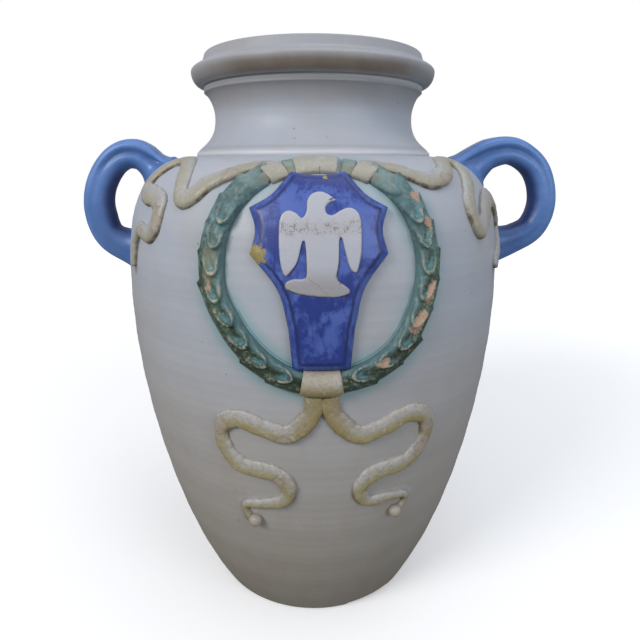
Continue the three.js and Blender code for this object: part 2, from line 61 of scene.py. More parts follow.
def hexed(code):
    """Scene-linear colour of an sRGB hex code."""
    channels = [int(code[i : i + 2], 16) / 255 for i in (0, 2, 4)]
    return [c / 12.92 if c <= 0.04045 else ((c + 0.055) / 1.055) ** 2.4 for c in channels]


def length_size(name, description, default):
    return bpy.props.FloatProperty(
        name=name, description=description, default=default, unit="LENGTH", subtype="DISTANCE", precision=4
    )


def glaze_colour(name, description, code):
    return bpy.props.FloatVectorProperty(
        name=name, description=description, default=hexed(code), subtype="COLOR", size=3, min=0, max=1
    )


class UrnSizes(bpy.types.PropertyGroup):
    """Sizes of the thrown urn and its handles."""

    foot_radius: length_size("Foot radius", "Radius of the foot", 0.158)
    belly_radius: length_size("Belly radius", "Radius of the widest part", 0.2595)
    belly_height: length_size("Belly height", "Height of the widest part", 0.445)
    shoulder_height: length_size("Shoulder height", "From the belly up to the neck", 0.1915)
    wall: length_size("Wall", "Thickness of the thrown wall", 0.018)
    floor: length_size("Floor", "Thickness of the floor", 0.02)
    neck_foot_radius: length_size("Neck foot radius", "Radius where the neck starts", 0.1585)
    neck_bore: length_size("Neck bore", "Radius of the bore under the neck", 0.132)
    neck_step: length_size("Neck step", "Small upright step under the neck", 0.003)
    waist_radius: length_size("Waist radius", "Radius of the neck's waist", 0.1337)
    waist_rise: length_size("Waist rise", "From the neck's foot up to its waist", 0.0485)
    neck_top_radius: length_size("Neck top radius", "Radius at the top of the neck", 0.1452)
    neck_top_rise: length_size("Neck top rise", "From the waist to the top of the neck", 0.031)
    fillet_radius: length_size("Fillet radius", "Radius of the fillet under the rim", 0.15)
    fillet_height: length_size("Fillet height", "Height of the fillet", 0.008)
    rim_core_radius: length_size("Rim core radius", "Radius to the middle of the half-round", 0.1485)
    rim_roll: length_size("Rim roll", "How far the half-round stands out", 0.013)
    roll_under: length_size("Roll underside", "Half-round below its middle", 0.014)
    roll_over: length_size("Roll top", "Half-round above its middle", 0.01)
    lip_radius: length_size("Lip radius", "Radius at the foot of the lip", 0.1465)
    lip_top_radius: length_size("Lip top radius", "Radius at the top of the lip", 0.1445)
    lip_height: length_size("Lip height", "Height of the lip", 0.012)
    mouth_radius: length_size("Mouth radius", "Radius of the mouth", 0.127)
    handle_thickness: length_size("Handle thickness", "Across the strap, seen from the front", 0.035)
    handle_depth: length_size("Handle depth", "Through the strap, front to back", 0.042)
    flute_depth: length_size("Flute depth", "Hollow down each broad side", 0.004)
    handle_top_drop: length_size("Upper root", "Upper root, down the wall from the neck", 0.0544)
    handle_foot_drop: length_size("Lower root", "Lower root, down the wall from the neck", 0.1924)


class OrnamentSizes(bpy.types.PropertyGroup):
    """Sizes of the moulded ornament."""

    wreath_drop: length_size("Wreath drop", "Wreath's middle, down the wall from the neck", 0.1644)
    wreath_radius: length_size("Wreath radius", "Radius to the middle of the wreath", 0.12)
    wreath_width: length_size("Wreath width", "Width of the wreath", 0.031)
    wreath_relief: length_size("Wreath relief", "How far the wreath stands out", 0.014)
    leaf_pitch: length_size("Leaf pitch", "Distance between leaves along the wreath", 0.03)
    band_clearance: length_size("Band clearance", "How far the bands stand round the wreath", 0.0015)
    top_band: length_size("Top band", "Length of the top band", 0.048)
    bottom_band: length_size("Bottom band", "Length of the bottom band", 0.041)
    side_band: length_size("Side bands", "Length of the slanting bands", 0.0245)
    shield_relief: length_size("Shield relief", "How far the shield stands out", 0.009)
    shield_bevel: length_size("Shield bevel", "Width of the sloping border", 0.0075)
    eagle_relief: length_size("Eagle relief", "How far the eagle stands off the shield", 0.0018)
    ribbon_width: length_size("Ribbon width", "Width of the ribbons", 0.019)
    ribbon_relief: length_size("Ribbon relief", "How far the ribbons stand out", 0.005)
    ball_radius: length_size("Ball radius", "Radius of the balls on the ribbon ends", 0.009)
    side_band_turn: bpy.props.FloatProperty(
        name="Side band turn", description="Turn of the slanting bands from the top, in degrees", default=25
    )
    first_cup: bpy.props.FloatProperty(
        name="First cup", description="Turn from the top of the first cupped leaf, in degrees", default=56
    )
    seed: bpy.props.IntProperty(name="Seed", description="Seed of the leaves' small differences", default=7)


class UrnGlazes(bpy.types.PropertyGroup):
    """Colours of the glazes and of the bare clay."""

    cream: glaze_colour("Cream glaze", "Body, neck and rim", "a9a8ab")
    cream_warm: glaze_colour("Warm cream", "Where the body glaze runs thin", "a39a8b")
    cream_cool: glaze_colour("Cool cream", "Where the body glaze lies thick", "a6aebb")
    # Umber also paints the shade under the rim's roll, along with its dirt, and the darkening towards the
    # foot.
    umber: glaze_colour("Umber stain", "Under the rim and at the foot", "6b5c49")
    halo: glaze_colour("Halo", "Glaze bled from the wreath", "7fa3a6")
    clay: glaze_colour("Bare clay", "Chips, where the glaze is lost", "b39480")
    bisque: glaze_colour("Bisque", "Chips of the ribbons", "a3958a")
    blue: glaze_colour("Blue glaze", "Handles", "4872b0")
    blue_thin: glaze_colour("Thin blue", "Where the blue is thin", "6788c2")
    blue_deep: glaze_colour("Deep blue", "Flutes of the handles", "2c5088")
    # Navy also paints the shade on the handles' faces towards the hole.
    navy: glaze_colour("Navy", "Hollows and lines of the blue glazes", "17275c")
    cobalt: glaze_colour("Cobalt glaze", "Shield", "24367f")
    cobalt_thin: glaze_colour("Thin cobalt", "Where the cobalt is brushed thin", "4c62ab")
    leaf: glaze_colour("Leaf glaze", "Wreath", "44604f")
    leaf_thin: glaze_colour("Thin leaf glaze", "Upper and inner leaves", "56767a")
    leaf_pale: glaze_colour("Pale leaf glaze", "Leaves at the top", "80908c")
    olive: glaze_colour("Olive", "Backs of the upper leaves", "7a7a66")
    leaf_deep: glaze_colour("Deep leaf glaze", "Roots and shaded parts of the leaves", "273728")
    turquoise: glaze_colour("Turquoise", "Middles of the leaves and bleeding glaze", "427b84")
    white: glaze_colour("White glaze", "Eagle", "b2b1b7")
    straw: glaze_colour("Straw glaze", "Bands and ribbons", "a39d86")
    straw_deep: glaze_colour("Deep straw", "Where the straw glaze has pooled", "9a8c56")
    ochre: glaze_colour("Ochre", "Stems of the ribbons", "8d7a4e")
    # Brown also paints shadow lines, under the ribbons on the wall and along their lower edges.
    brown: glaze_colour("Brown", "Dark lines beside the relief", "53402b")


# Middle lines of the handles, in mm out from and above the upper root
HANDLE_ROUTES = {
    "left": [(34, 18), (65, 10), (89, -22), (96, -60), (82, -99)],
    "right": [(40, 20), (78, 20), (110, -4), (124, -47), (113, -86), (81, -107)],
}

# Corners of the shield's right half, in mm across and of rise
SHIELD_HALF = {
    "top_dip": (0, 94),
    "top_horn": (27, 99),
    "upper_hollow": (46, 73),
    "upper_horn": (70, 58),
    "side_hollow": (64, 36),
    "lower_horn": (70, 12),
    "lower_hollow": (44, -22),
    "waist": (34, -62),
    "foot": (30, -108),
}

# Outline of the eagle, in mm across and of rise
EAGLE_OUTLINE = [
    (-1, 72.5), (6, 70), (11.5, 66.5), (14.5, 63.5), (9, 61.5), (4.5, 57), (5.2, 51.5), (10.5, 49.8),
    (17, 53.5), (24, 56.5), (30, 56), (36, 51), (38.7, 39), (38.5, 16), (35.5, -1), (32, -5.5), (26, 1),
    (18, 28), (17, 5), (15, -9.5), (17, -13.4), (22.5, -17.2), (27, -21.5), (26.3, -26), (20, -28.6),
    (12, -29.3), (-3, -28.4), (-19.5, -26.2), (-31, -23.8), (-35.6, -19.3), (-34.6, -13.8),
    (-27, -10.4), (-17, -9.5), (-15.2, 0), (-17, 25), (-23, 5), (-31, -7), (-36.5, -7.2), (-39.7, 3),
    (-41, 18), (-40.6, 40), (-38, 50), (-31.3, 54.2), (-24, 51.7), (-18.5, 47.3), (-14.5, 53.3),
    (-13.5, 63.5), (-9, 70),
]

# Painted lines on the eagle and a crack across it, in mm across and of rise
EAGLE_LINES = [
    [(33, -7), (25, 0), (18, 28), (16.5, 5), (14, -8)],
    [(-16, -10), (-15, 0), (-17, 25), (-23, 5), (-33, -8)],
    [(29, -25), (14, -29), (-2, -30), (-20, -27), (-33, -21)],
    [(17, 66), (11, 65), (8, 63.5)],
]
EAGLE_CRACK = [(-14, -9), (-8, -14), (-3, -17), (0, -22), (6, -26)]

# Middle lines of the shoulder ribbons: azimuth in degrees and rise in mm
FLUTTER_ROUTES = {
    "left": [
        (-14.2, 111.5), (-15.9, 111.3), (-18.5, 109.8), (-21.5, 105.8), (-24.6, 98.8), (-27.8, 92),
        (-31.2, 83.5), (-33.6, 73), (-35.8, 66), (-38.2, 65.3), (-39.8, 73), (-40.8, 85), (-43.2, 104),
        (-46, 115.5), (-49.5, 122.5), (-54, 118), (-57.2, 106), (-59.6, 92), (-60.6, 78), (-58.6, 69.5),
        (-55.2, 66.3), (-50.6, 64), (-47.6, 58), (-47, 48), (-47.4, 33), (-50, 21.5), (-53.2, 22.5),
        (-57, 25.5), (-59.6, 12), (-60.2, -6), (-60.4, -20),
    ],
    "right": [
        (12.5, 112), (14.2, 112), (16.7, 110), (20.1, 107.1), (23.8, 101.2), (27.4, 93.8), (31.3, 88),
        (34.8, 88.6), (39.8, 96), (43.2, 106), (45.5, 116), (48, 122.5), (51.2, 121.5), (53.2, 114),
        (52.8, 100), (50.6, 86), (47.4, 70), (45.6, 55), (46.6, 38), (49, 26), (52.2, 33), (55, 46),
        (58.5, 56), (63, 60), (68.5, 54), (73, 40), (75.5, 20), (73, 2), (67.5, -7), (63, -14),
        (61, -25),
    ],
}

# Middle lines of the ribbons under the wreath: azimuth in degrees and rise in mm
TRAILING_ROUTES = {
    "left": [
        (-1.75, -140), (-2.4, -165), (-8, -190), (-14.5, -185), (-21.3, -176), (-26.2, -187),
        (-26.9, -211), (-22.8, -239), (-12.9, -247), (-9.1, -267), (-10.8, -288), (-17.7, -297),
        (-22.3, -301), (-23, -312), (-22, -327),
    ],
    "right": [
        (1.9, -140), (3.2, -167), (9.5, -193), (16.8, -186), (23.1, -175), (28.9, -185), (30, -213),
        (25.2, -242), (15.7, -250), (11.2, -271), (13.7, -293), (20.4, -293), (25.9, -296), (27, -307),
        (25.7, -318),
    ],
}

# Azimuth in degrees and rise in mm of the balls on the ribbons' ends, and their height as a share of round
BALLS = {"left": (-20.1, -325), "right": (23.9, -320)}
BALL_HEIGHT = 0.9

# Ribbons: widths by share of the length, chips by share, size and how far to the lower edge, and the
# ochre stain at the start and over the rest
RIBBONS = {
    "flutter": {
        "routes": FLUTTER_ROUTES,
        "widths": [
            (0, 0.7), (0.1, 0.8), (0.2, 1), (0.42, 0.9), (0.55, 1), (0.64, 1.12), (0.75, 1.05),
            (0.86, 0.75), (1, 0.6),
        ],
        "chips": {
            "left": [(0.1, 0.02, 0.7), (0.75, 0.03, 0.3), (0.86, 0.02, 0.2)],
            "right": [(0.2, 0.02, 0.7), (0.71, 0.015, 0.3)],
        },
        "ochre": (0.5, 0.22),
    },
    "trailing": {
        "routes": TRAILING_ROUTES,
        "widths": [
            (0, 1.0), (0.3, 1.03), (0.42, 0.92), (0.55, 1.0), (0.68, 1.0), (0.79, 0.74), (0.88, 0.56),
            (0.94, 0.38), (1, 0.34),
        ],
        "chips": {
            "left": [(0.18, 0.02, 0.7), (0.395, 0.03, -0.1), (0.69, 0.02, 0.5)],
            "right": [(0.42, 0.025, 0.3), (0.5, 0.035, 0.0), (0.97, 0.02, 0.3)],
        },
        "ochre": (0.75, 0.0),
    },
}

# Clay added on the side of the hole, in mm, by share of the handle's length
HANDLE_INSIDES = {
    "left": [
        (0, -6), (0.06, 2), (0.11, 9), (0.16, 8), (0.23, 4), (0.32, 2.5), (0.54, 4), (0.69, 6),
        (0.78, 4.5), (0.88, 8.5), (0.93, 12), (1, 12),
    ],
    "right": [
        (0, -6), (0.06, 6), (0.1, 14), (0.16, 14), (0.23, 6), (0.32, 1.5), (0.54, 1), (0.74, 3),
        (0.84, 5.5), (0.9, 12), (0.95, 20), (1, 22),
    ],
}

# Half width away from the hole, as a share, by share of the handle's length
HANDLE_OUTSIDES = {
    "left": [
        (0, 0.72), (0.06, 0.84), (0.1, 0.7), (0.14, 0.68), (0.19, 0.93), (0.25, 1.06), (0.34, 0.98),
        (0.4, 0.945), (0.6, 0.945), (0.7, 1), (1, 1),
    ],
    "right": [
        (0, 0.72), (0.06, 0.86), (0.1, 0.86), (0.14, 0.93), (0.22, 1.05), (0.32, 1.04), (0.4, 0.955),
        (0.6, 0.955), (0.68, 1.02), (0.76, 1), (1, 1),
    ],
}

# Turn from the top in degrees, stray from a true circle in mm, and share of the width
WREATH_LINE = [
    (-180, 4, 0.88), (-165, 4.5, 0.86), (-150, 1.6, 0.93), (-135, -2, 0.96), (-120, -3, 0.97),
    (-105, -1, 1.0), (-90, -2.6, 1.02), (-75, -4.4, 0.97), (-60, -6.2, 0.95), (-45, -7.5, 0.95),
    (-30, -7.5, 0.93), (-18, -6.2, 0.92), (0, -4.6, 0.9), (18, -6.2, 0.9), (30, -7.5, 0.88),
    (45, -7.8, 0.85), (60, -7.2, 0.85), (75, -5, 0.92), (90, -2.2, 0.96), (105, -1, 0.96),
    (120, 0.9, 0.92), (135, 5, 0.94), (150, 5.2, 0.9), (165, 5, 0.88), (180, 4, 0.88),
]

# Colours of small marks in the glazes
PALE_CLOUD = (0.62, 0.6, 0.6)
DARK_RING = (0.27, 0.26, 0.26)
# The next colour is a painted highlight on the bead at the neck's foot and on the fillet under the rim.
PAINTED_HIGHLIGHT = (0.62, 0.61, 0.62)
CHIP_EDGE = (0.25, 0.2, 0.16)
CHIP_HOLLOW = (0.3, 0.24, 0.19)
BODY_SPECK = (0.1, 0.085, 0.08)
EAGLE_SPECK = (0.09, 0.08, 0.09)
LEAF_SPECK = (0.05, 0.07, 0.05)
STRAW_SPECK = (0.14, 0.1, 0.06)

# Rows of leaves: cupped or not, offset as a share of the width, splay, tilt, shift along, lift
LEAF_ROWS = [
    (True, -0.13, 12, -10, 0.0, 0.007), (False, 0.19, 9, 24, 0.5, 0.0048),
    (False, -0.24, 1.5, -26, 0.5, 0.0042),
]

# How finely the pieces are divided
BODY_SEGMENTS = 288
NECK_SEGMENTS = 256
HANDLE_RINGS = 120
HANDLE_POINTS = 72
RIBBON_STEP = 0.0024
SHIELD_SPACING = 0.0022
EAGLE_SPACING = 0.0012
MELT_VOXEL = 0.0012
MELT_ROUNDS = 5

# How far ornament is sunk into the wall
BED = 0.005

# Azimuth of the chip in the foot's edge
FOOT_CHIP_TURN = 28.5

# Lights: name, place, size, power and colour
LIGHTS = [
    ("key", (-2.3, -2.1, 2.3), 1.5, 74, (1.0, 0.99, 0.97)),
    ("fill", (1.9, -2.2, 1.4), 1.8, 27, (0.9, 0.95, 1.0)),
    ("top", (0.5, -0.3, 2.7), 1.8, 14, (0.95, 0.97, 1.0)),
]
LIT_PLACE = (0, 0, 0.4)

# The camera, fitted to the outlines of lip, rim, neck and foot in the photo
CAMERA_LENS = 29.31
CAMERA_PLACE = (-0.0231, -0.7697, 0.622)
CAMERA_TURN = (73.53, 0, -2.4)

# Chips of the shield: mm across, mm of rise, share of the rise that counts, depth, size, greatest depth
SHIELD_CHIPS = [(-64, 12, 1, 1.25, 13, 1), (4, 88, 1, 0.95, 5, 1), (-69, 30, 0.25, 0.62, 10, 0.5)]

# Chips of the wreath: mm across, mm of rise, length and width in mm, strength
LAUREL_CHIPS = [
    (96, 72, 6.5, 4.2, 1.0), (110, 43, 7, 3.8, 1.0), (115, -30, 12, 5, 1.0), (102, -60, 12, 6.2, 1.15),
    (63, -101, 9, 4.4, 0.9), (-116, -20, 7, 3, 0.8), (-110, -46, 5, 2.4, 0.7),
]


def bezier(points, steps):
    """Points of a cubic curve."""
    a, b, c, d = (np.array(p, float) for p in points)
    t = np.linspace(0, 1, steps + 1)[:, None]
    return a * (1 - t) ** 3 + 3 * b * t * (1 - t) ** 2 + 3 * c * t * t * (1 - t) + d * t**3


def arc(centre, across, up, start, end, steps):
    """Points of an elliptical arc, with angles in degrees."""
    angles = np.radians(np.linspace(start, end, steps + 1))
    return np.stack([centre[0] + across * np.cos(angles), centre[1] + up * np.sin(angles)], 1)


def spline(points, per_span, closed=False):
    """Points of a smooth curve through the given points."""
    points = np.array(points, float)
    if closed:
        padded = np.vstack([points[-1], points, points[:2]])
    else:
        padded = np.vstack([2 * points[0] - points[1], points, 2 * points[-1] - points[-2]])
    made = []
    for i in range(len(padded) - 3):
        p0, p1, p2, p3 = padded[i : i + 4]
        for t in np.arange(per_span) / per_span:
            made.append(
                0.5
                * (
                    2 * p1
                    + (p2 - p0) * t
                    + (2 * p0 - 5 * p1 + 4 * p2 - p3) * t**2
                    + (3 * p1 - p0 - 3 * p2 + p3) * t**3
                )
            )
    if not closed:
        made.append(points[-1])
    return np.array(made)


def smooth(low, high, value):
    """0 below low, 1 above high and a soft step between."""
    share = np.clip((np.asarray(value, float) - low) / (high - low), 0, 1)
    return share * share * (3 - 2 * share)


def unit(vectors):
    return vectors / np.maximum(np.linalg.norm(vectors, axis=-1, keepdims=True), 1e-12)


def travelled(points):
    """Distance along a run of points, at each of them."""
    return np.concatenate([[0], np.cumsum(np.linalg.norm(np.diff(points, axis=0), axis=1))])


def nearest_among(points, chosen=None):
    """A tree that finds the nearest of the points, or of the chosen ones."""
    chosen = range(len(points)) if chosen is None else chosen
    tree = kdtree.KDTree(len(chosen))
    for i in chosen:
        tree.insert(points[i], int(i))
    tree.balance()
    return tree


class Wall:
    """The outside of the thrown body."""

    SAMPLES = 900

    def __init__(self, sizes, ornament):
        foot, belly, neck = sizes.foot_radius, sizes.belly_radius, sizes.neck_foot_radius
        height, shoulder = sizes.belly_height, sizes.shoulder_height
        lower = bezier(
            [
                (foot, 0),
                (foot + 0.545 * (belly - foot), 0.212 * height),
                (belly, 0.664 * height),
                (belly, height),
            ],
            self.SAMPLES,
        )
        upper = bezier(
            [
                (belly, height),
                (belly, height + 0.627 * shoulder),
                (neck + 0.831 * (belly - neck), height + 0.97 * shoulder),
                (neck, height + shoulder),
            ],
            self.SAMPLES,
        )
        curve = np.vstack([lower, upper[1:]])
        self.climbs = travelled(curve)
        self.radii, self.heights = curve.T
        tangent = unit(np.gradient(curve, self.climbs, axis=0))
        self.outs, self.ups = tangent[:, 1], -tangent[:, 0]
        self.length = self.climbs[-1]
        self.wreath = self.length - ornament.wreath_drop

    def at(self, climb):
        """Radius, height and the two parts of the outward normal at a climb."""
        parts = (self.radii, self.heights, self.outs, self.ups)
        return tuple(np.interp(climb, self.climbs, part) for part in parts)

    def place(self, azimuth, climb, lift=0.0):
        """Points on the wall, lifted off it along its normal."""
        radius, height, out, up = self.at(climb)
        turn = np.radians(azimuth)
        reach = radius + lift * out
        return np.stack([reach * np.sin(turn), -reach * np.cos(turn), height + lift * up + 0 * turn], -1)

    def normal(self, azimuth, climb):
        _, _, out, up = self.at(climb)
        turn = np.radians(azimuth)
        return np.stack([out * np.sin(turn), -out * np.cos(turn), up + 0 * turn], -1)

    def front(self, across, rise, lift):
        """Points on the front of the wall, given by metres across and metres of rise."""
        climb = self.wreath + np.asarray(rise, float)
        radius = self.at(climb)[0]
        return self.place(np.degrees(np.asarray(across, float) / radius), climb, lift)

    def ring(self, turn, radius):
        """Azimuth and climb of the wreath's ring, turned from its top."""
        across = radius * np.sin(np.radians(turn))
        climb = self.wreath + radius * np.cos(np.radians(turn))
        return np.degrees(across / self.at(climb)[0]), climb


def settings():
    """The sizes, the ornament's sizes, the glazes and the wall they make."""
    scene = bpy.context.scene
    return scene.urn_sizes, scene.urn_ornament, scene.urn_glazes, Wall(scene.urn_sizes, scene.urn_ornament)


def keep_values(mesh, name, values):
    """Stores a number or a vector on each point of a mesh."""
    values = np.asarray(values, np.float32)
    kind, field = ("FLOAT_VECTOR", "vector") if values.ndim == 2 else ("FLOAT", "value")
    mesh.attributes.new(name, kind, "POINT").data.foreach_set(field, values.ravel())


def mesh_object(name, points, faces, attributes):
    """A smooth-shaded object at the origin, with values stored on its points."""
    mesh = bpy.data.meshes.new(name)
    mesh.from_pydata([tuple(p) for p in points], [], faces)
    mesh.validate()
    for key, values in attributes.items():
        keep_values(mesh, key, values)
    mesh.shade_smooth()
    mesh.update()
    thing = bpy.data.objects.new(name, mesh)
    bpy.context.scene.collection.objects.link(thing)
    return thing


def turned(name, profile, segments, shift, attributes):
    """A profile of radius and height turned about the axis. It starts and ends on the axis, or closes
    on itself. shift moves the points out and up, by azimuth, radius and height."""
    profile = np.array(profile, float)
    poles = profile[0, 0] < 1e-9
    rows = profile[1:-1] if poles else profile
    turns = np.radians(np.arange(segments) * 360 / segments)
    radii = np.repeat(rows[:, :1], segments, 1)
    heights = np.repeat(rows[:, 1:], segments, 1)
    moved = shift(np.degrees(turns)[None, :], radii, heights)
    radii, heights = radii + moved[0], heights + moved[1]
    points = np.stack([radii * np.sin(turns), -radii * np.cos(turns), heights], -1).reshape(-1, 3)
    count = len(rows)
    faces = []
    for i in range(count if not poles else count - 1):
        here, above = i * segments, ((i + 1) % count) * segments
        for j in range(segments):
            k = (j + 1) % segments
            faces.append((here + j, here + k, above + k, above + j))
    if poles:
        base, top = len(points), len(points) + 1
        points = np.vstack([points, [[0, 0, profile[0, 1]], [0, 0, profile[-1, 1]]]])
        last = (count - 1) * segments
        for j in range(segments):
            k = (j + 1) % segments
            faces.append((base, k, j))
            faces.append((top, last + j, last + k))
    return mesh_object(name, points, faces, attributes(points))


def swept(name, rings, attributes):
    """Rings of points joined one after another, with pointed caps."""
    rings = np.array(rings, float)
    count, size = rings.shape[:2]
    points = rings.reshape(-1, 3)
    faces = []
    for i in range(count - 1):
        here, after = i * size, (i + 1) * size
        for j in range(size):
            k = (j + 1) % size
            faces.append((here + j, after + j, after + k, here + k))
    points = np.vstack([points, rings[0].mean(0)[None], rings[-1].mean(0)[None]])
    first, last = len(points) - 2, len(points) - 1
    end = (count - 1) * size
    for j in range(size):
        k = (j + 1) % size
        faces.append((first, j, k))
        faces.append((last, end + k, end + j))
    values = {}
    for key, value in attributes.items():
        value = np.asarray(value, float).reshape(-1)
        values[key] = np.concatenate([value, [value[:size].mean(), value[-size:].mean()]])
    return mesh_object(name, points, faces, values)


def cut_plate(name, outline, spacing, height_at, bed, wall, values_at):
    """A closed plate that follows the front of the wall. outline is a closed run of (across, rise),
    height_at gives the lift of its face from the distance to the outline."""
    outline = np.array(outline, float)
    edge_count = len(outline)
    low, high = outline.min(0), outline.max(0)
    columns = np.arange(low[0] + spacing / 2, high[0], spacing)
    rows = np.arange(low[1] + spacing / 2, high[1], spacing)
    grid = np.stack(np.meshgrid(columns, rows), -1).reshape(-1, 2)
    grid = grid[inside(grid, outline)]
    gap = outline_gap(grid, outline)
    grid = grid[gap > 0.45 * spacing]
    flat = np.vstack([outline, grid])
    edges = [(i, (i + 1) % edge_count) for i in range(edge_count)]
    made = geometry.delaunay_2d_cdt([Vector(p) for p in flat], edges, [], 1, 1e-7)
    points = np.array([tuple(p) for p in made[0]])
    triangles = [tuple(t) for t in made[2]]
    centres = np.array([points[list(t)].mean(0) for t in triangles])
    keep = inside(centres, outline)
    triangles = [t for t, k in zip(triangles, keep) if k]
    gap = outline_gap(points, outline)
    top = wall.front(points[:, 0], points[:, 1], height_at(gap))
    under = wall.front(points[:, 0], points[:, 1], -bed + 0 * gap)
    count = len(points)
    area = sum(
        (points[b][0] - points[a][0]) * (points[c][1] - points[a][1])
        - (points[c][0] - points[a][0]) * (points[b][1] - points[a][1])
        for a, b, c in triangles
    )
    if area < 0:
        triangles = [(a, c, b) for a, b, c in triangles]
    faces = triangles + [(a + count, c + count, b + count) for a, b, c in triangles]
    used = dict.fromkeys(edge for a, b, c in triangles for edge in ((a, b), (b, c), (c, a)))
    for a, b in used:
        if (b, a) not in used:
            faces.append((b, a, a + count, b + count))
    values = {"edge_gap": np.concatenate([gap, 0 * gap])}
    for key, value in values_at(points).items():
        values[key] = np.concatenate([value, value])
    return mesh_object(name, np.vstack([top, under]), faces, values)


def inside(points, outline):
    """Which points lie inside a closed outline."""
    x, y = points[:, 0], points[:, 1]
    found = np.zeros(len(points), bool)
    for (x1, y1), (x2, y2) in zip(outline, np.roll(outline, -1, 0)):
        if y1 != y2:
            crosses = ((y1 > y) != (y2 > y)) & (x < (x2 - x1) * (y - y1) / (y2 - y1) + x1)
            found ^= crosses
    return found


def outline_gap(points, outline, closed=True):
    """Distance from each point to the nearest stretch of an outline."""
    ends = np.roll(outline, -1, 0) if closed else outline[1:]
    starts = outline if closed else outline[:-1]
    best = np.full(len(points), 1e9)
    for a, b in zip(starts, ends):
        run = b - a
        share = np.clip(((points - a) @ run) / max(run @ run, 1e-18), 0, 1)
        best = np.minimum(best, np.linalg.norm(points - (a + share[:, None] * run), axis=1))
    return best


def relief_share(turn):
    """How much of the wreath's relief stands at a turn from its top, where the mould was pressed flat."""
    return 0.4 + 0.6 * smooth(16, 64, np.abs(turn))


def hand_laid(turn):
    """How far the wreath's middle strays from a true circle, and how wide it is, as a share of its
    width, at a turn from its top."""
    turn = (np.asarray(turn, float) + 180) % 360 - 180
    turns, strays, shares = np.array(WREATH_LINE).T
    return MM * np.interp(turn, turns, strays), np.interp(turn, turns, shares)


def fused(thing, voxel, rounds):
    """Melts overlapping closed shapes into one soft skin that keeps the stored values of the leaves."""
    mesh = thing.data
    points = np.array([v.co for v in mesh.vertices])
    before = {}
    for attribute in mesh.attributes:
        if attribute.data_type == "FLOAT" and attribute.domain == "POINT":
            values = np.zeros(len(points), np.float32)
            attribute.data.foreach_get("value", values)
            before[attribute.name] = values
    on_leaf = np.nonzero(before["leaf_run"] + before["leaf_side"] > 0)[0] if before else []
    tree = nearest_among(points, on_leaf if len(on_leaf) else None)
    melt = thing.modifiers.new("Melt", "REMESH")
    melt.mode = "VOXEL"
    melt.voxel_size = voxel
    soften = thing.modifiers.new("Soften", "SMOOTH")
    soften.factor = 0.5
    soften.iterations = rounds
    made_plain(thing)
    mesh = thing.data
    nearest = [tree.find(v.co)[1] for v in mesh.vertices]
    edges = np.array([e.vertices[:] for e in mesh.edges])
    ends = np.concatenate([edges, edges[:, ::-1]])
    count = len(mesh.vertices)
    neighbours = np.bincount(ends[:, 0], minlength=count) + 1
    for name, values in before.items():
        spread = values[nearest].astype(float)
        for _ in range(rounds):
            spread = (np.bincount(ends[:, 0], spread[ends[:, 1]], count) + spread) / neighbours
        keep_values(mesh, name, spread)
    mesh.shade_smooth()


def made_plain(thing):
    """Turns an object's live result into its own plain mesh and takes its modifiers off."""
    graph = bpy.context.evaluated_depsgraph_get()
    mesh = bpy.data.meshes.new_from_object(
        thing.evaluated_get(graph), preserve_all_data_layers=True, depsgraph=graph
    )
    thing.modifiers.clear()
    thing.data = mesh


def finished(thing, material, slot, *nodes):
    """Gives a piece its glaze and its place in the frame."""
    thing.data.materials.clear()
    thing.data.materials.append(material)
    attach(thing, "root")
    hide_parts(*nodes)


# Materials


class Value:
    """An output of a node, which plain arithmetic can be written with."""

    def __init__(self, socket):
        self.socket, self.tree = socket, socket.id_data

    def math(self, operation, other=0.0):
        return node(self.tree, "ShaderNodeMath", {0: self, 1: other}, operation=operation).outputs[0]

    def clamped(self):
        self.socket.node.use_clamp = True
        return self

    def ramp(self, low, high, start=0.0, end=1.0):
        """A soft step of the value."""
        limits = {"Value": self, "From Min": low, "From Max": high, "To Min": start, "To Max": end}
        made = node(self.tree, "ShaderNodeMapRange", limits, interpolation_type="SMOOTHSTEP")
        return made.outputs["Result"]

    def mix(self, factor, other):
        """This colour, with another one mixed in."""
        return mixed(self.tree, factor, self, other)

    def __add__(self, other):
        return self.math("ADD", other)

    def __sub__(self, other):
        return self.math("SUBTRACT", other)

    def __mul__(self, other):
        return self.math("MULTIPLY", other)

    def __abs__(self):
        return self.math("ABSOLUTE")


class Outputs:
    """The outputs of a node by name or number, as values."""

    def __init__(self, sockets):
        self.sockets = sockets

    def __getitem__(self, key):
        return Value(self.sockets[key])

    def enabled(self):
        return next(Value(socket) for socket in self.sockets if socket.enabled)


class Made:
    """A new node with its inputs and its outputs."""

    def __init__(self, made):
        self.inputs, self.outputs = made.inputs, Outputs(made.outputs)


def fill(socket, value):
    """Links a value to a socket, or sets the socket's own number, colour or thing."""
    if isinstance(value, Value):
        socket.id_data.links.new(value.socket, socket)
    else:
        socket.default_value = value


def node(tree, kind, inputs=None, **options):
    """A node with its options set and its inputs linked or filled."""
    made = tree.nodes.new(kind)
    for key, value in options.items():
        setattr(made, key, value)
    for key, value in (inputs or {}).items():
        fill(made.inputs[key], value)
    return Made(made)


def mixed(tree, factor, first, second):
    made = node(tree, "ShaderNodeMix", {0: factor}, data_type="RGBA")
    for index, colour in ((6, first), (7, second)):
        fill(made.inputs[index], colour if isinstance(colour, Value) else (*colour[:3], 1.0))
    return made.outputs[2]


def stored(tree, name):
    return node(tree, "ShaderNodeAttribute", attribute_name=name, attribute_type="GEOMETRY").outputs["Fac"]


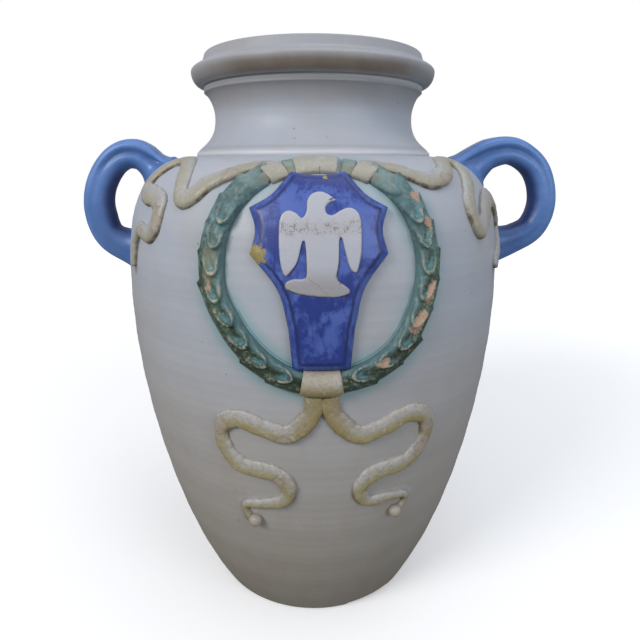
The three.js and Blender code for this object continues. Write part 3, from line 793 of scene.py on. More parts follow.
def new_group(name, inputs, outputs):
    """A shader node group with named number inputs and named outputs."""
    tree = bpy.data.node_groups.new(name, "ShaderNodeTree")
    for key, value in inputs.items():
        socket = tree.interface.new_socket(key, in_out="INPUT", socket_type="NodeSocketFloat")
        socket.default_value = value
    for key in outputs:
        tree.interface.new_socket(key, in_out="OUTPUT", socket_type="NodeSocketFloat")
    start = Made(tree.nodes.new("NodeGroupInput"))
    end = tree.nodes.new("NodeGroupOutput")
    return tree, start, end


def object_place(tree, scale=(1, 1, 1)):
    coordinates = node(tree, "ShaderNodeTexCoord").outputs["Object"]
    return node(tree, "ShaderNodeMapping", {"Vector": coordinates, "Scale": scale}).outputs["Vector"]


def object_parts(tree):
    """The object's own X, Y and Z at a place."""
    place = node(tree, "ShaderNodeTexCoord").outputs["Object"]
    return node(tree, "ShaderNodeSeparateXYZ", {"Vector": place}).outputs


def noise(tree, place, scale, detail, roughness=0.5, distortion=0.0):
    """Cloudy noise."""
    sizes = {"Scale": scale, "Detail": detail, "Roughness": roughness, "Distortion": distortion}
    return node(tree, "ShaderNodeTexNoise", {"Vector": place, **sizes}).outputs["Fac"]


def mottle_group():
    """Cloudy differences in the thickness of a glaze: a broad one, a fine one and upright runs."""
    tree, start, end = new_group(
        "Glaze mottle", {"Broad Scale": 9.0, "Fine Scale": 55.0}, ("Broad", "Fine", "Runs")
    )
    place = object_place(tree)
    broad = noise(tree, place, start.outputs[0], 5.0, 0.6, 0.4)
    fine = noise(tree, place, start.outputs[1], 6.0, 0.7)
    runs = noise(tree, object_place(tree, (34, 34, 5)), 1.0, 4.0, 0.6)
    fill(end.inputs["Broad"], broad.ramp(0.32, 0.68))
    fill(end.inputs["Fine"], fine.ramp(0.3, 0.7))
    fill(end.inputs["Runs"], runs.ramp(0.36, 0.66))
    return tree


def craze_group():
    """Fine cracks in a glaze, broken up so that they come and go."""
    tree, start, end = new_group("Glaze crazing", {"Cell Scale": 45.0, "Line Width": 0.035}, ("Line",))
    place = object_place(tree)
    bend = node(
        tree, "ShaderNodeTexNoise", {"Vector": place, "Scale": 30.0, "Detail": 3.0}
    ).outputs["Color"]
    shifted = node(
        tree, "ShaderNodeVectorMath", {0: bend, 1: (0.02, 0.02, 0.02)}, operation="MULTIPLY"
    ).outputs[0]
    moved = node(tree, "ShaderNodeVectorMath", {0: place, 1: shifted}, operation="ADD").outputs[0]
    cells = node(
        tree,
        "ShaderNodeTexVoronoi",
        {"Vector": moved, "Scale": start.outputs[0]},
        feature="DISTANCE_TO_EDGE",
    ).outputs["Distance"]
    lines = cells.math("LESS_THAN", start.outputs[1])
    fill(end.inputs["Line"], lines * noise(tree, place, 7.0, 3.0).ramp(0.52, 0.62))
    return tree


def speck_group():
    """Dark specks and small pits scattered through a glaze."""
    tree, start, end = new_group(
        "Glaze specks", {"Speck Scale": 120.0, "Speck Size": 0.16, "Pit Scale": 260.0}, ("Speck", "Pit")
    )
    place = object_place(tree)
    cells = node(tree, "ShaderNodeTexVoronoi", {"Vector": place, "Scale": start.outputs[0]})
    picked = node(tree, "ShaderNodeSeparateColor", {"Color": cells.outputs["Color"]}).outputs["Red"]
    few = picked.math("GREATER_THAN", 0.86)
    near = cells.outputs["Distance"].ramp(start.outputs[1], 0.03)
    fill(end.inputs["Speck"], near * few)
    pits = node(tree, "ShaderNodeTexVoronoi", {"Vector": place, "Scale": start.outputs[2]})
    chosen = node(tree, "ShaderNodeSeparateColor", {"Color": pits.outputs["Color"]}).outputs["Green"]
    some = chosen.math("GREATER_THAN", 0.72)
    hollow = pits.outputs["Distance"].ramp(0.3, 0.05)
    fill(end.inputs["Pit"], hollow * some)
    return tree


def chip_group():
    """Places where the glaze is knocked off down to the clay, from a mask stored on the piece."""
    tree, start, end = new_group(
        "Glaze chips", {"Where": 0.0, "Ragged Scale": 160.0}, ("Chip", "Edge", "Grain")
    )
    place = object_place(tree)
    ragged = noise(tree, place, start.outputs[1], 4.0, 0.65)
    worn = start.outputs[0] + (ragged - 0.5) * 1.7
    fill(end.inputs["Chip"], worn.ramp(0.44, 0.58))
    rising = worn.ramp(0.36, 0.47)
    falling = worn.ramp(0.47, 0.6, 1.0, 0.0)
    fill(end.inputs["Edge"], rising * falling)
    grain = node(
        tree, "ShaderNodeTexVoronoi", {"Vector": place, "Scale": 620.0}, feature="F1"
    ).outputs["Distance"]
    fill(end.inputs["Grain"], grain.ramp(0.15, 0.6, 0.6, 1.0))
    return tree


GROUP_MAKERS = {
    "Glaze mottle": mottle_group,
    "Glaze crazing": craze_group,
    "Glaze specks": speck_group,
    "Glaze chips": chip_group,
}


def use_group(tree, name, inputs):
    """Places a shared group in a material, building the group the first time."""
    group = bpy.data.node_groups.get(name) or GROUP_MAKERS[name]()
    made = tree.nodes.new("ShaderNodeGroup")
    made.node_tree = group
    for key, value in inputs.items():
        fill(made.inputs[key], value)
    return Outputs(made.outputs)


def mottled(tree, broad, fine):
    return use_group(tree, "Glaze mottle", {"Broad Scale": broad, "Fine Scale": fine})


def specked(tree, scale, size):
    return use_group(tree, "Glaze specks", {"Speck Scale": scale, "Speck Size": size})


def chipped(tree, ragged):
    return use_group(tree, "Glaze chips", {"Where": stored(tree, "chip"), "Ragged Scale": ragged})


def new_glaze(name, roughness, coat):
    """An empty glaze: its node tree and its Principled shader."""
    material = bpy.data.materials.new(name)
    material.use_nodes = True
    shader = material.node_tree.nodes["Principled BSDF"]
    inputs = (roughness, coat, 0.28, 0.4)
    for key, value in zip(("Roughness", "Coat Weight", "Coat Roughness", "Specular IOR Level"), inputs):
        fill(shader.inputs[key], value)
    return material, material.node_tree, shader


def finish_glaze(tree, shader, colour, surface, strength, roughness, distance=0.0006):
    """Links a glaze's colour, small relief and roughness to its shader."""
    relief = {"Strength": strength, "Distance": distance, "Height": surface}
    fill(shader.inputs["Base Color"], colour)
    fill(shader.inputs["Normal"], node(tree, "ShaderNodeBump", relief).outputs["Normal"])
    fill(shader.inputs["Roughness"], roughness)


def body_glaze(glazes):
    """Cream glaze over the thrown wall: cooler above, warmer below, streaked, pitted and stained. It also
    paints shade under the rim's roll, a shadow under the ribbons and a highlight on the neck's foot and the
    fillet.
    """
    material, tree, shader = new_glaze("Body glaze", 0.5, 0.12)
    mottle = mottled(tree, 5.0, 38.0)
    specks = specked(tree, 78.0, 0.15)
    height = object_parts(tree)["Z"]
    low = height.ramp(0.5, 0.1)
    warm = low * 0.7 + mottle["Runs"] * 0.16
    colour = mixed(tree, (warm * 0.8).clamped(), glazes.cream, glazes.cream_warm)
    high = height.ramp(0.3, 0.52)
    cloud = mottle["Broad"].ramp(0.0, 1.0, 0.35, 1.0)
    cool = cloud * (high * 0.8)
    colour = colour.mix(cool, glazes.cream_cool)
    colour = colour.mix(mottle["Fine"] * 0.06, PALE_CLOUD)
    rings = noise(tree, object_place(tree, (3, 3, 130)), 1.0, 4.0, 0.55)
    colour = colour.mix(rings.ramp(0.56, 0.74, 0.0, 0.1), DARK_RING)
    # Umber over the stored stain: darker towards the foot and the neck's top, and painted shade with dirt
    # under the rim's roll.
    stain = stored(tree, "stain") * mottle["Runs"].ramp(0.0, 1.0, 0.92, 1.0)
    colour = colour.mix(stain, glazes.umber)
    # Painted highlight along the neck's foot bead and on the fillet.
    colour = colour.mix(stored(tree, "pale") * 0.8, PAINTED_HIGHLIGHT)
    halo = stored(tree, "ring_gap").ramp(0.034, 0.013) * stored(tree, "ring_line").ramp(0.0, 1.0, 0.7, 1.0)
    colour = colour.mix(halo * mottle["Broad"].ramp(0.1, 0.9, 0.3, 0.8), glazes.halo)
    near_line = abs(stored(tree, "ring_inner") - 0.0022)
    line = near_line.ramp(0.001, 0.0003) * stored(tree, "ring_line")
    colour = colour.mix(line * 0.7, glazes.turquoise)
    fringe = stored(tree, "relief_gap").ramp(0.005, 0.0005) * mottle["Fine"].ramp(0.2, 0.8)
    fringe = fringe * stored(tree, "under").ramp(0.0, 1.0, 0.55, 0.0)
    colour = colour.mix(fringe, glazes.white)
    # Brown dirt with a painted shadow on the wall just below the ribbons.
    dirt_and_shadow = stored(tree, "relief_gap").ramp(0.0022, -0.0006) * mottle["Fine"].ramp(0.1, 0.8, 0.1, 0.6)
    colour = colour.mix(dirt_and_shadow * stored(tree, "under"), glazes.brown)
    chips = chipped(tree, 120.0)
    colour = colour.mix(chips["Edge"], CHIP_EDGE)
    colour = colour.mix(chips["Chip"], mixed(tree, chips["Grain"], CHIP_HOLLOW, glazes.clay))
    colour = colour.mix(specks["Speck"] * 0.6, BODY_SPECK)
    surface = rings * 0.8 + mottle["Fine"] * 0.2 - specks["Pit"] * 0.3 - chips["Chip"] * 1.6
    rough = mottle["Broad"].ramp(0.0, 1.0, 0.44, 0.6)
    finish_glaze(tree, shader, colour, surface, 0.4, rough)
    return material


def handle_glaze(glazes):
    """Blue glaze: pale on the edge and the roll, deeper in the flute, and navy painted shade inside the
    loop.
    """
    material, tree, shader = new_glaze("Handle glaze", 0.42, 0.2)
    mottle = mottled(tree, 15.0, 70.0)
    specks = specked(tree, 110.0, 0.12)
    thin = mottle["Broad"].ramp(0.0, 1.0, 0.25, 0.8)
    colour = mixed(tree, thin, glazes.blue, glazes.blue_thin)
    deep = stored(tree, "flute") * mottle["Fine"].ramp(0.0, 1.0, 0.8, 1.0)
    colour = colour.mix(deep, glazes.blue_deep)
    edge = stored(tree, "edge") * mottle["Fine"].ramp(0.2, 0.8, 0.1, 0.4)
    colour = colour.mix(edge, glazes.cream_cool)
    # Painted shade: navy on the faces towards the hole.
    colour = colour.mix(stored(tree, "inner") * 0.9, glazes.navy)
    colour = colour.mix(specks["Speck"] * 0.4, glazes.navy)
    surface = mottle["Fine"] - specks["Pit"]
    finish_glaze(tree, shader, colour, surface, 0.3, mottle["Broad"].ramp(0, 1, 0.38, 0.52))
    return material


def shield_glaze(glazes):
    """Cobalt brushed over white: mottled, thin on the border, with a dark line inside it."""
    material, tree, shader = new_glaze("Shield glaze", 0.45, 0.2)
    mottle = mottled(tree, 30.0, 120.0)
    specks = specked(tree, 140.0, 0.14)
    brush = noise(tree, object_place(tree, (190, 190, 60)), 1.0, 5.0, 0.72)
    cloud = mottle["Broad"] * 0.5 + brush * 0.7
    height = object_parts(tree)["Z"]
    less = height.ramp(0.5, 0.45) * 0.2 + height.ramp(0.59, 0.605) * 0.25
    thin = (cloud.ramp(0.42, 0.8) - less).clamped()
    colour = mixed(tree, thin, glazes.cobalt, glazes.cobalt_thin)
    gap = stored(tree, "edge_gap")
    moved_gap = gap + (mottle["Fine"] - 0.5) * 0.0016
    border = gap.ramp(0.0076, 0.0055) * brush.ramp(0.35, 0.65, 0.15, 0.6)
    colour = colour.mix(border, glazes.cobalt_thin)
    line = abs(moved_gap - 0.0084).ramp(0.0032, 0.0004) * brush.ramp(0.3, 0.6, 0.5, 1.0)
    colour = colour.mix(line, glazes.navy)
    colour = colour.mix(gap.ramp(0.0015, 0.0003) * 0.6, glazes.navy)
    chips = chipped(tree, 220.0)
    colour = colour.mix(chips["Chip"], mixed(tree, chips["Grain"], glazes.brown, glazes.straw_deep))
    colour = colour.mix(specks["Speck"] * 0.6, glazes.navy)
    surface = brush * 0.8 - specks["Pit"] - chips["Chip"] * 2.0
    finish_glaze(tree, shader, colour, surface, 0.4, brush.ramp(0.3, 0.7, 0.36, 0.52))
    return material


def eagle_glaze(glazes):
    """White glaze with dark painted lines, and a brown crazed band across the breast."""
    material, tree, shader = new_glaze("Eagle glaze", 0.5, 0.12)
    mottle = mottled(tree, 18.0, 110.0)
    specks = specked(tree, 105.0, 0.17)
    craze = use_group(tree, "Glaze crazing", {"Cell Scale": 210.0, "Line Width": 0.085})
    colour = mixed(tree, mottle["Broad"] * 0.5, glazes.white, glazes.cream_cool)
    band = stored(tree, "breast")
    colour = colour.mix(band * 0.14, glazes.umber)
    curls = noise(tree, object_place(tree), 150.0, 2.0, distortion=0.6)
    scribble = abs(curls - 0.5).ramp(0.045, 0.008)
    scribble = (scribble + craze["Line"]).clamped() * (band * 0.85)
    colour = colour.mix(scribble, glazes.umber)
    line = stored(tree, "line_gap").ramp(0.0012, 0.0004)
    colour = colour.mix(line * 0.9, glazes.navy)
    colour = colour.mix(stored(tree, "crack_gap").ramp(0.0006, 0.0001) * 0.5, glazes.brown)
    colour = colour.mix(stored(tree, "edge_gap").ramp(0.001, 0.0002) * 0.4, glazes.cobalt)
    colour = colour.mix(stored(tree, "low").ramp(0.0, 1.0, 0.0, 0.4), glazes.umber)
    colour = colour.mix(specks["Speck"] * 0.7, EAGLE_SPECK)
    surface = mottle["Fine"] - specks["Pit"] * 0.6 - line * 1.5
    finish_glaze(tree, shader, colour, surface, 0.35, mottle["Broad"].ramp(0, 1, 0.42, 0.56))
    return material


def leaf_glaze(glazes):
    """Grey-teal glaze at the top, deepening to dark green below, broken to straw on the leaves' rims, with
    pooled glaze and painted shadow at the roots of the lower leaves.
    """
    material, tree, shader = new_glaze("Laurel glaze", 0.46, 0.14)
    mottle = mottled(tree, 42.0, 120.0)
    specks = specked(tree, 170.0, 0.15)
    run, side, cup = stored(tree, "leaf_run"), stored(tree, "leaf_side"), stored(tree, "leaf_cup")
    down, across = stored(tree, "ring_down"), stored(tree, "ring_side")
    colour = mixed(tree, down.ramp(0.1, 0.28), glazes.leaf_pale, glazes.leaf_thin)
    colour = colour.mix(down.ramp(0.34, 0.56), glazes.leaf)
    colour = colour.mix(down.ramp(0.54, 0.78, 0.0, 0.9), glazes.leaf_deep)
    wet = down.ramp(0.2, 0.6, 0.25, 0.8)
    cloud = mottle["Broad"].ramp(0.4, 0.9) * wet
    colour = colour.mix(cloud, glazes.leaf_deep)
    bloom = mottle["Fine"].ramp(0.45, 0.95) * mottle["Broad"].ramp(0.7, 0.2)
    colour = colour.mix(bloom * 0.45, glazes.turquoise)
    strokes = mottled(tree, 85.0, 230.0)
    dark = strokes["Broad"].ramp(0.5, 0.85) * down.ramp(0.2, 0.5, 0.25, 0.7)
    colour = colour.mix(dark, glazes.leaf_deep)
    worn_pale = strokes["Fine"].ramp(0.55, 0.85) * strokes["Broad"].ramp(0.6, 0.3)
    colour = colour.mix(worn_pale * 0.5, glazes.straw)
    middle_zone = abs(across + 0.25).ramp(0.6, 0.25)
    back = run.ramp(0.5, 0.2) * middle_zone
    back_here = back * mottle["Fine"].ramp(0.0, 1.0, 0.95, 0.5)
    left_part = object_parts(tree)["X"].ramp(0.0, -0.05)
    level = abs(down - 0.49).ramp(0.08, 0.02, 0.0, 0.75)
    tan = level * left_part * middle_zone
    colour = colour.mix(tan, glazes.olive)
    # At the roots, under the tip of the leaf before: olive above, and in the lower half deep green for
    # pooled glaze and painted shadow.
    shaded_lower_roots = down.ramp(0.5, 0.62)
    colour = colour.mix(back_here, mixed(tree, shaded_lower_roots, glazes.olive, glazes.leaf_deep))
    inward = across.ramp(-0.5, -0.85) * down.ramp(0.3, 0.5, 0.2, 0.75)
    colour = colour.mix(inward, glazes.leaf_thin)
    heart = side.ramp(0.62, 0.3) * run.ramp(0.45, 0.68)
    heart_here = heart * cup * mottle["Fine"].ramp(0, 1, 0.5, 0.9)
    colour = colour.mix(heart_here, glazes.turquoise)
    rim = side.ramp(0.5, 0.8) * run.ramp(0.42, 0.72)
    broken = rim * mottle["Fine"].ramp(0.3, 0.7, 0.05, 1.0)
    pale = broken * cup.ramp(0.1, 0.9, 0.0, 0.85)
    colour = colour.mix(pale, mixed(tree, mottle["Broad"], glazes.straw, glazes.leaf_pale))
    chips = chipped(tree, 230.0)
    colour = colour.mix(chips["Edge"] * 0.6, glazes.straw)
    bare = mixed(tree, chips["Grain"], glazes.brown, glazes.clay)
    colour = colour.mix(chips["Chip"] * 0.9, bare)
    colour = colour.mix(specks["Speck"] * 0.5, LEAF_SPECK)
    surface = mottle["Fine"] * 0.9 + mottle["Broad"] * 0.6 - chips["Chip"] * 2.0
    rough = (mottle["Broad"].ramp(0, 1, 0.36, 0.54) + chips["Chip"] * 0.4).clamped()
    finish_glaze(tree, shader, colour, surface, 0.55, rough, 0.0009)
    return material


def straw_glaze(glazes):
    """Cream-yellow glaze: whitish on the upper face, yellow where it pooled, brown with painted shadow
    along lower edges.
    """
    material, tree, shader = new_glaze("Ribbon glaze", 0.48, 0.18)
    mottle = mottled(tree, 22.0, 95.0)
    specks = specked(tree, 140.0, 0.15)
    down, side = stored(tree, "lower_side"), stored(tree, "edge_share")
    base = mixed(tree, mottle["Broad"] * 0.4, glazes.straw, glazes.cream_warm)
    pooled = down.ramp(-0.3, 0.25) * mottle["Fine"].ramp(0.1, 0.8, 0.55, 1.0)
    colour = base.mix(pooled * 0.9, glazes.straw_deep)
    upper = down.ramp(-0.15, -0.6, 0.0, 0.6) * mottle["Fine"].ramp(0.0, 1.0, 0.5, 1.0)
    colour = colour.mix(upper, glazes.white)
    aged = stored(tree, "ochre") * mottle["Broad"].ramp(0.0, 1.0, 0.5, 0.9)
    colour = colour.mix(aged, glazes.ochre)
    scuffs = mottled(tree, 70.0, 260.0)
    dull = scuffs["Fine"].ramp(0.4, 0.85, 0.0, 0.24)
    colour = colour.mix(dull, glazes.umber)
    scuffed = scuffs["Broad"].ramp(0.55, 0.85) * scuffs["Fine"].ramp(0.6, 0.2)
    colour = colour.mix(scuffed * 0.42, glazes.white)
    colour = colour.mix(object_parts(tree)["Z"].ramp(0.4, 0.5, 0.0, 0.3), glazes.cream_cool)
    # A brown line with painted shadow along each lower edge.
    shaded_lower_edge = side.ramp(0.8, 0.97) * down.ramp(-0.3, 0.4)
    outline = shaded_lower_edge * mottle["Fine"].ramp(0.25, 0.75, 0.2, 1.0)
    colour = colour.mix(outline * 0.8, glazes.brown)
    chips = chipped(tree, 200.0)
    colour = colour.mix(chips["Edge"] * 0.25, glazes.brown)
    bare = mixed(tree, chips["Grain"].ramp(0.6, 1.0, 0.8, 1.0), glazes.brown, glazes.bisque)
    colour = colour.mix(chips["Chip"] * 0.72, bare)
    colour = colour.mix(specks["Speck"] * 0.5, STRAW_SPECK)
    surface = mottle["Fine"] - specks["Pit"] * 0.6 - chips["Chip"] * 1.8
    finish_glaze(tree, shader, colour, surface, 0.5, mottle["Broad"].ramp(0, 1, 0.4, 0.56), 0.0008)
    return material


def glaze_named(name, maker):
    """A glaze that several pieces share, made the first time it is asked for."""
    found = bpy.data.materials.get(name)
    return found or maker(bpy.context.scene.urn_glazes)


# Thrown body, neck and rim


def thrown_marks(azimuth, heights):
    """How far the thrower's hand left the wall short of a true round, always inwards."""
    a = np.radians(azimuth)
    broad = 0.45 * MM * (2 + np.sin(2 * a + 0.6) + np.sin(3 * a + 9 * heights))
    ridges = 0.12 * MM * (1 + np.sin(heights / 0.0127 * 2 * math.pi + 0.8 * np.sin(a)))
    slow = 0.25 * MM * (1 + np.sin(heights / 0.053 * 2 * math.pi + 1.3))
    return -(broad + ridges + slow)


def ornament_runs(wall):
    """Centre lines of all ribbons, as points on the wall."""
    runs = []
    for routes in (FLUTTER_ROUTES, TRAILING_ROUTES):
        for route in routes.values():
            fine = spline([(a, wall.wreath + r * MM) for a, r in route], 20)
            runs.append(wall.place(fine[:, 0], fine[:, 1]))
    return np.vstack(runs)


def body_values(points, wall, ornament):
    """Distances from the wall's points to the wreath and the ribbons, its darkening towards the foot, and
    its chips.
    """
    azimuth = np.degrees(np.arctan2(points[:, 0], -points[:, 1]))
    radius = np.hypot(points[:, 0], points[:, 1])
    height = points[:, 2]
    climb = np.interp(height, wall.heights, wall.climbs)
    across = np.radians(azimuth) * radius
    rise = climb - wall.wreath
    turn = np.degrees(np.arctan2(across, rise))
    stray, share = hand_laid(turn)
    beyond = np.hypot(across, rise) - ornament.wreath_radius - stray
    outside = radius > np.interp(height, wall.heights, wall.radii) - 0.006
    ring = np.where(outside & (np.abs(azimuth) < 60), np.abs(beyond), 1.0)
    inner = np.where(outside, -beyond - ornament.wreath_width / 2 * share, 1.0)
    tree = nearest_among(ornament_runs(wall))
    found = [tree.find(p) if o else (p, 0, 1.0) for p, o in zip(points, outside)]
    gap = np.array([f[2] for f in found])
    above = np.array([f[0][2] for f in found]) - height
    flake = np.hypot((azimuth - FOOT_CHIP_TURN) / 12, height / 0.0085)
    chip = np.where(outside | (height < 0.001), np.clip(1.5 - 0.75 * flake, 0, 1) * (radius > 0.14), 0.0)
    return {
        "ring_gap": ring,
        "ring_inner": inner,
        "ring_line": np.clip((-0.02 - rise) / 0.03, 0, 1),
        "relief_gap": gap - ornament.ribbon_width / 2,
        # Below a ribbon, where the glaze paints dirt and a shadow.
        "under": smooth(-0.004, 0.006, above),
        # Darker towards the foot.
        "stain": 0.3 * smooth(0.24, 0.02, height) + 0.1 * smooth(0.4, 0.2, height),
        "pale": 0 * height,
        "chip": chip,
    }


class URN_OT_thrown_body(bpy.types.Operator):
    """Throws the hollow body from its foot to the foot of the neck"""

    bl_idname = "urn.thrown_body"
    bl_label = "Thrown body"

    def execute(self, context):
        sizes, ornament, _, wall = settings()
        climbs = np.linspace(0, wall.length, 177)
        radii, heights, outs, _ = wall.at(climbs)
        sunk = 0.0022 * smooth(0.195, 0.165, radii) * (heights > sizes.belly_height)
        outer = np.stack([radii, heights - sunk], 1)
        foot_edge = [
            (0, 0),
            (0.05, 0),
            (0.1, 0),
            (sizes.foot_radius - 0.004, 0),
            (sizes.foot_radius - 0.0012, 0.0002),
        ]
        thick = sizes.wall / np.maximum(outs, 0.35)
        keep = (heights > sizes.floor) & (radii - thick > sizes.neck_bore * 0.9) & (outs > 0.45)
        inner = np.stack([(radii - thick)[keep], heights[keep]], 1)[::-5]
        top = heights[-1]
        neck_inside = [(sizes.neck_bore, top), (sizes.neck_bore, top - sizes.wall * 0.6)]
        floor_inside = [
            (inner[-1][0] * 0.97, sizes.floor), (inner[-1][0] * 0.5, sizes.floor), (0, sizes.floor)
        ]
        profile = np.vstack([foot_edge, outer[1:], neck_inside, inner, floor_inside])

        def shift(azimuth, ring_radii, ring_heights):
            rows = np.arange(len(ring_radii))[:, None] + 1
            on_wall = (rows >= len(foot_edge)) & (rows < len(foot_edge) + len(outer) - 1)
            calm = smooth(0, 0.03, ring_heights) * smooth(0, 0.02, top - ring_heights)
            moved = np.where(on_wall, thrown_marks(azimuth, ring_heights) * calm, 0.0)
            turn = (azimuth + 180) % 360 - 180
            beside, low = smooth(14, 9, np.abs(turn - FOOT_CHIP_TURN)), smooth(0.0075, 0.001, ring_heights)
            flake = beside * low * (ring_radii > 0.15)
            return moved - 0.0045 * flake * (1 + 0.2 * np.sin(turn * 1.7)), 0.0022 * flake

        body = turned(
            "thrown_body", profile, BODY_SEGMENTS, shift, lambda p: body_values(p, wall, ornament)
        )
        material = glaze_named("Body glaze", body_glaze)
        finished(body, material, "cream_glaze", "base_slab", "body_lower", "body_belly", "shoulder")
        return {"FINISHED"}


def plain_values(points, stain, pale):
    """The body glaze's stored values where no ornament is near."""
    far = np.ones(len(points))
    return {
        "ring_gap": far,
        "ring_inner": far,
        "ring_line": 0 * far,
        "relief_gap": far,
        "under": 0 * far,
        "stain": stain(points[:, 2]),
        "pale": pale(points[:, 2]),
        "chip": 0 * far,
    }


class URN_OT_neck_and_rim(bpy.types.Operator):
    """Turns the waisted neck and the rolled rim with its lip"""

    bl_idname = "urn.neck_and_rim"
    bl_label = "Neck and rim"

    def execute(self, context):
        sizes, _, _, _ = settings()
        base = sizes.belly_height + sizes.shoulder_height
        step, waist = base + sizes.neck_step, base + sizes.waist_rise
        sunk, drawn_in = 0.003, 0.0035
        top = waist + sizes.neck_top_rise - sunk
        rim_base = top + sizes.fillet_height
        fillet = sizes.fillet_radius - drawn_in
        foot, middle, head = sizes.neck_foot_radius, sizes.waist_radius, sizes.neck_top_radius
        skirt = bezier(
            [
                (foot - 0.0016, step + 0.0018),
                (foot + 0.56 * (middle - foot), step + 0.26 * sizes.waist_rise),
                (middle, waist - 0.5 * sizes.waist_rise),
                (middle, waist),
            ],
            24,
        )
        flare = bezier(
            [
                (middle, waist),
                (middle, waist + 0.3 * sizes.neck_top_rise),
                (middle + 0.4 * (head - middle), top - 0.14 * sizes.neck_top_rise),
                (head, top),
            ],
            14,
        )
        bore = spline(
            [(sizes.mouth_radius, rim_base), (middle - sizes.wall, waist), (sizes.neck_bore, base)], 8
        )
        bead = arc((foot - 0.0012, base - 0.001), 0.0028, 0.0044, -70, 84, 10)
        neck_profile = np.vstack(
            [
                [(foot - 0.006, base - 0.0052)],
                bead,
                skirt,
                flare[1:],
                [(head + 0.001, top + 0.001), (fillet - 0.0016, top + 0.0024)],
                [(fillet - 0.0004, top + 0.0038), (fillet, top + 0.0056), (fillet, rim_base)],
                bore,
            ]
        )

        def calm_turned(azimuth, radii, heights):
            inward, up = self.hand_turned(azimuth, radii, heights)
            return inward * smooth(base + 0.002, base + 0.02, heights), up

        # Darker and browner towards the top of the neck, under the rim, and in a band just above its step.
        def neck_darkening(height):
            return 0.4 * smooth(waist - 0.008, top - 0.004, height) + 0.2 * np.exp(
                -((height - step - 0.004) / 0.002) ** 2
            )

        # A painted highlight along the bead at the neck's foot and on the fillet under the rim.
        def neck_highlight(height):
            line = np.exp(-(((height - base - 0.0005) / 0.0026) ** 2))
            return 0.8 * line + 0.4 * smooth(top + 0.002, top + 0.0045, height)

        neck = turned(
            "waisted_neck",
            neck_profile,
            NECK_SEGMENTS,
            calm_turned,
            lambda p: plain_values(p, neck_darkening, neck_highlight),
        )
        core, roll = sizes.rim_core_radius, rim_base + sizes.roll_under + sunk
        over = sizes.roll_over - 0.003
        lip = roll + over
        lip_top = roll + sizes.roll_over + sizes.lip_height
        edge = 0.003
        cove = bezier(
            [
                (core + 0.0075, roll + 0.81 * over),
                (core + 0.0035, lip),
                (sizes.lip_radius + 0.0004, lip + 0.0012),
                (sizes.lip_radius, lip + 0.0065),
            ],
            8,
        )
        rim_profile = np.vstack(
            [
                [(fillet, rim_base)],
                arc((core, roll), sizes.rim_roll, sizes.roll_under + sunk, -84, 0, 18)[1:],
                arc((core, roll), sizes.rim_roll, over, 0, 50, 10)[1:],
                cove,
                [(sizes.lip_top_radius + 0.0006, lip_top - 1.6 * edge)],
                arc((sizes.lip_top_radius - edge, lip_top - edge), edge, edge, 0, 90, 5),
                arc((sizes.mouth_radius + edge, lip_top - edge), edge, edge, 90, 180, 5),
                [(sizes.mouth_radius, rim_base + 0.012), (sizes.mouth_radius, rim_base)],
            ]
        )

        # Darker all over the rim, and most under the roll, where the dark is painted shade as well as dirt.
        def rim_stain_and_shade(height):
            roll_part = smooth(roll + 0.004, roll - 0.008, height) * smooth(
                rim_base - 0.001, rim_base + 0.003, height
            )
            return 0.3 + 0.6 * roll_part

        rim = turned(
            "rolled_rim",
            rim_profile,
            NECK_SEGMENTS,
            self.hand_turned,
            lambda p: self.rim_values(p, rim_stain_and_shade),
        )
        material = glaze_named("Body glaze", body_glaze)
        finished(neck, material, "cream_glaze", "neck")
        finished(rim, material, "cream_glaze", "rim")
        return {"FINISHED"}

    @staticmethod
    def rim_values(points, stain):
        """The rim's stored values: its stain and painted shade are strongest at the front and back, and
        weak at the sides.
        """
        values = plain_values(points, stain, lambda height: 0 * height)
        turned_away = np.abs(points[:, 0]) / np.hypot(points[:, 0], points[:, 1])
        values["stain"] = values["stain"] * (1 - 0.45 * smooth(0.5, 0.85, turned_away))
        return values

    @staticmethod
    def hand_turned(azimuth, radii, heights):
        a = np.radians(azimuth)
        inward = -0.3 * MM * (2 + np.sin(2 * a + 1.1) + np.sin(5 * a + 60 * heights))
        return inward, 0 * inward


# Handles


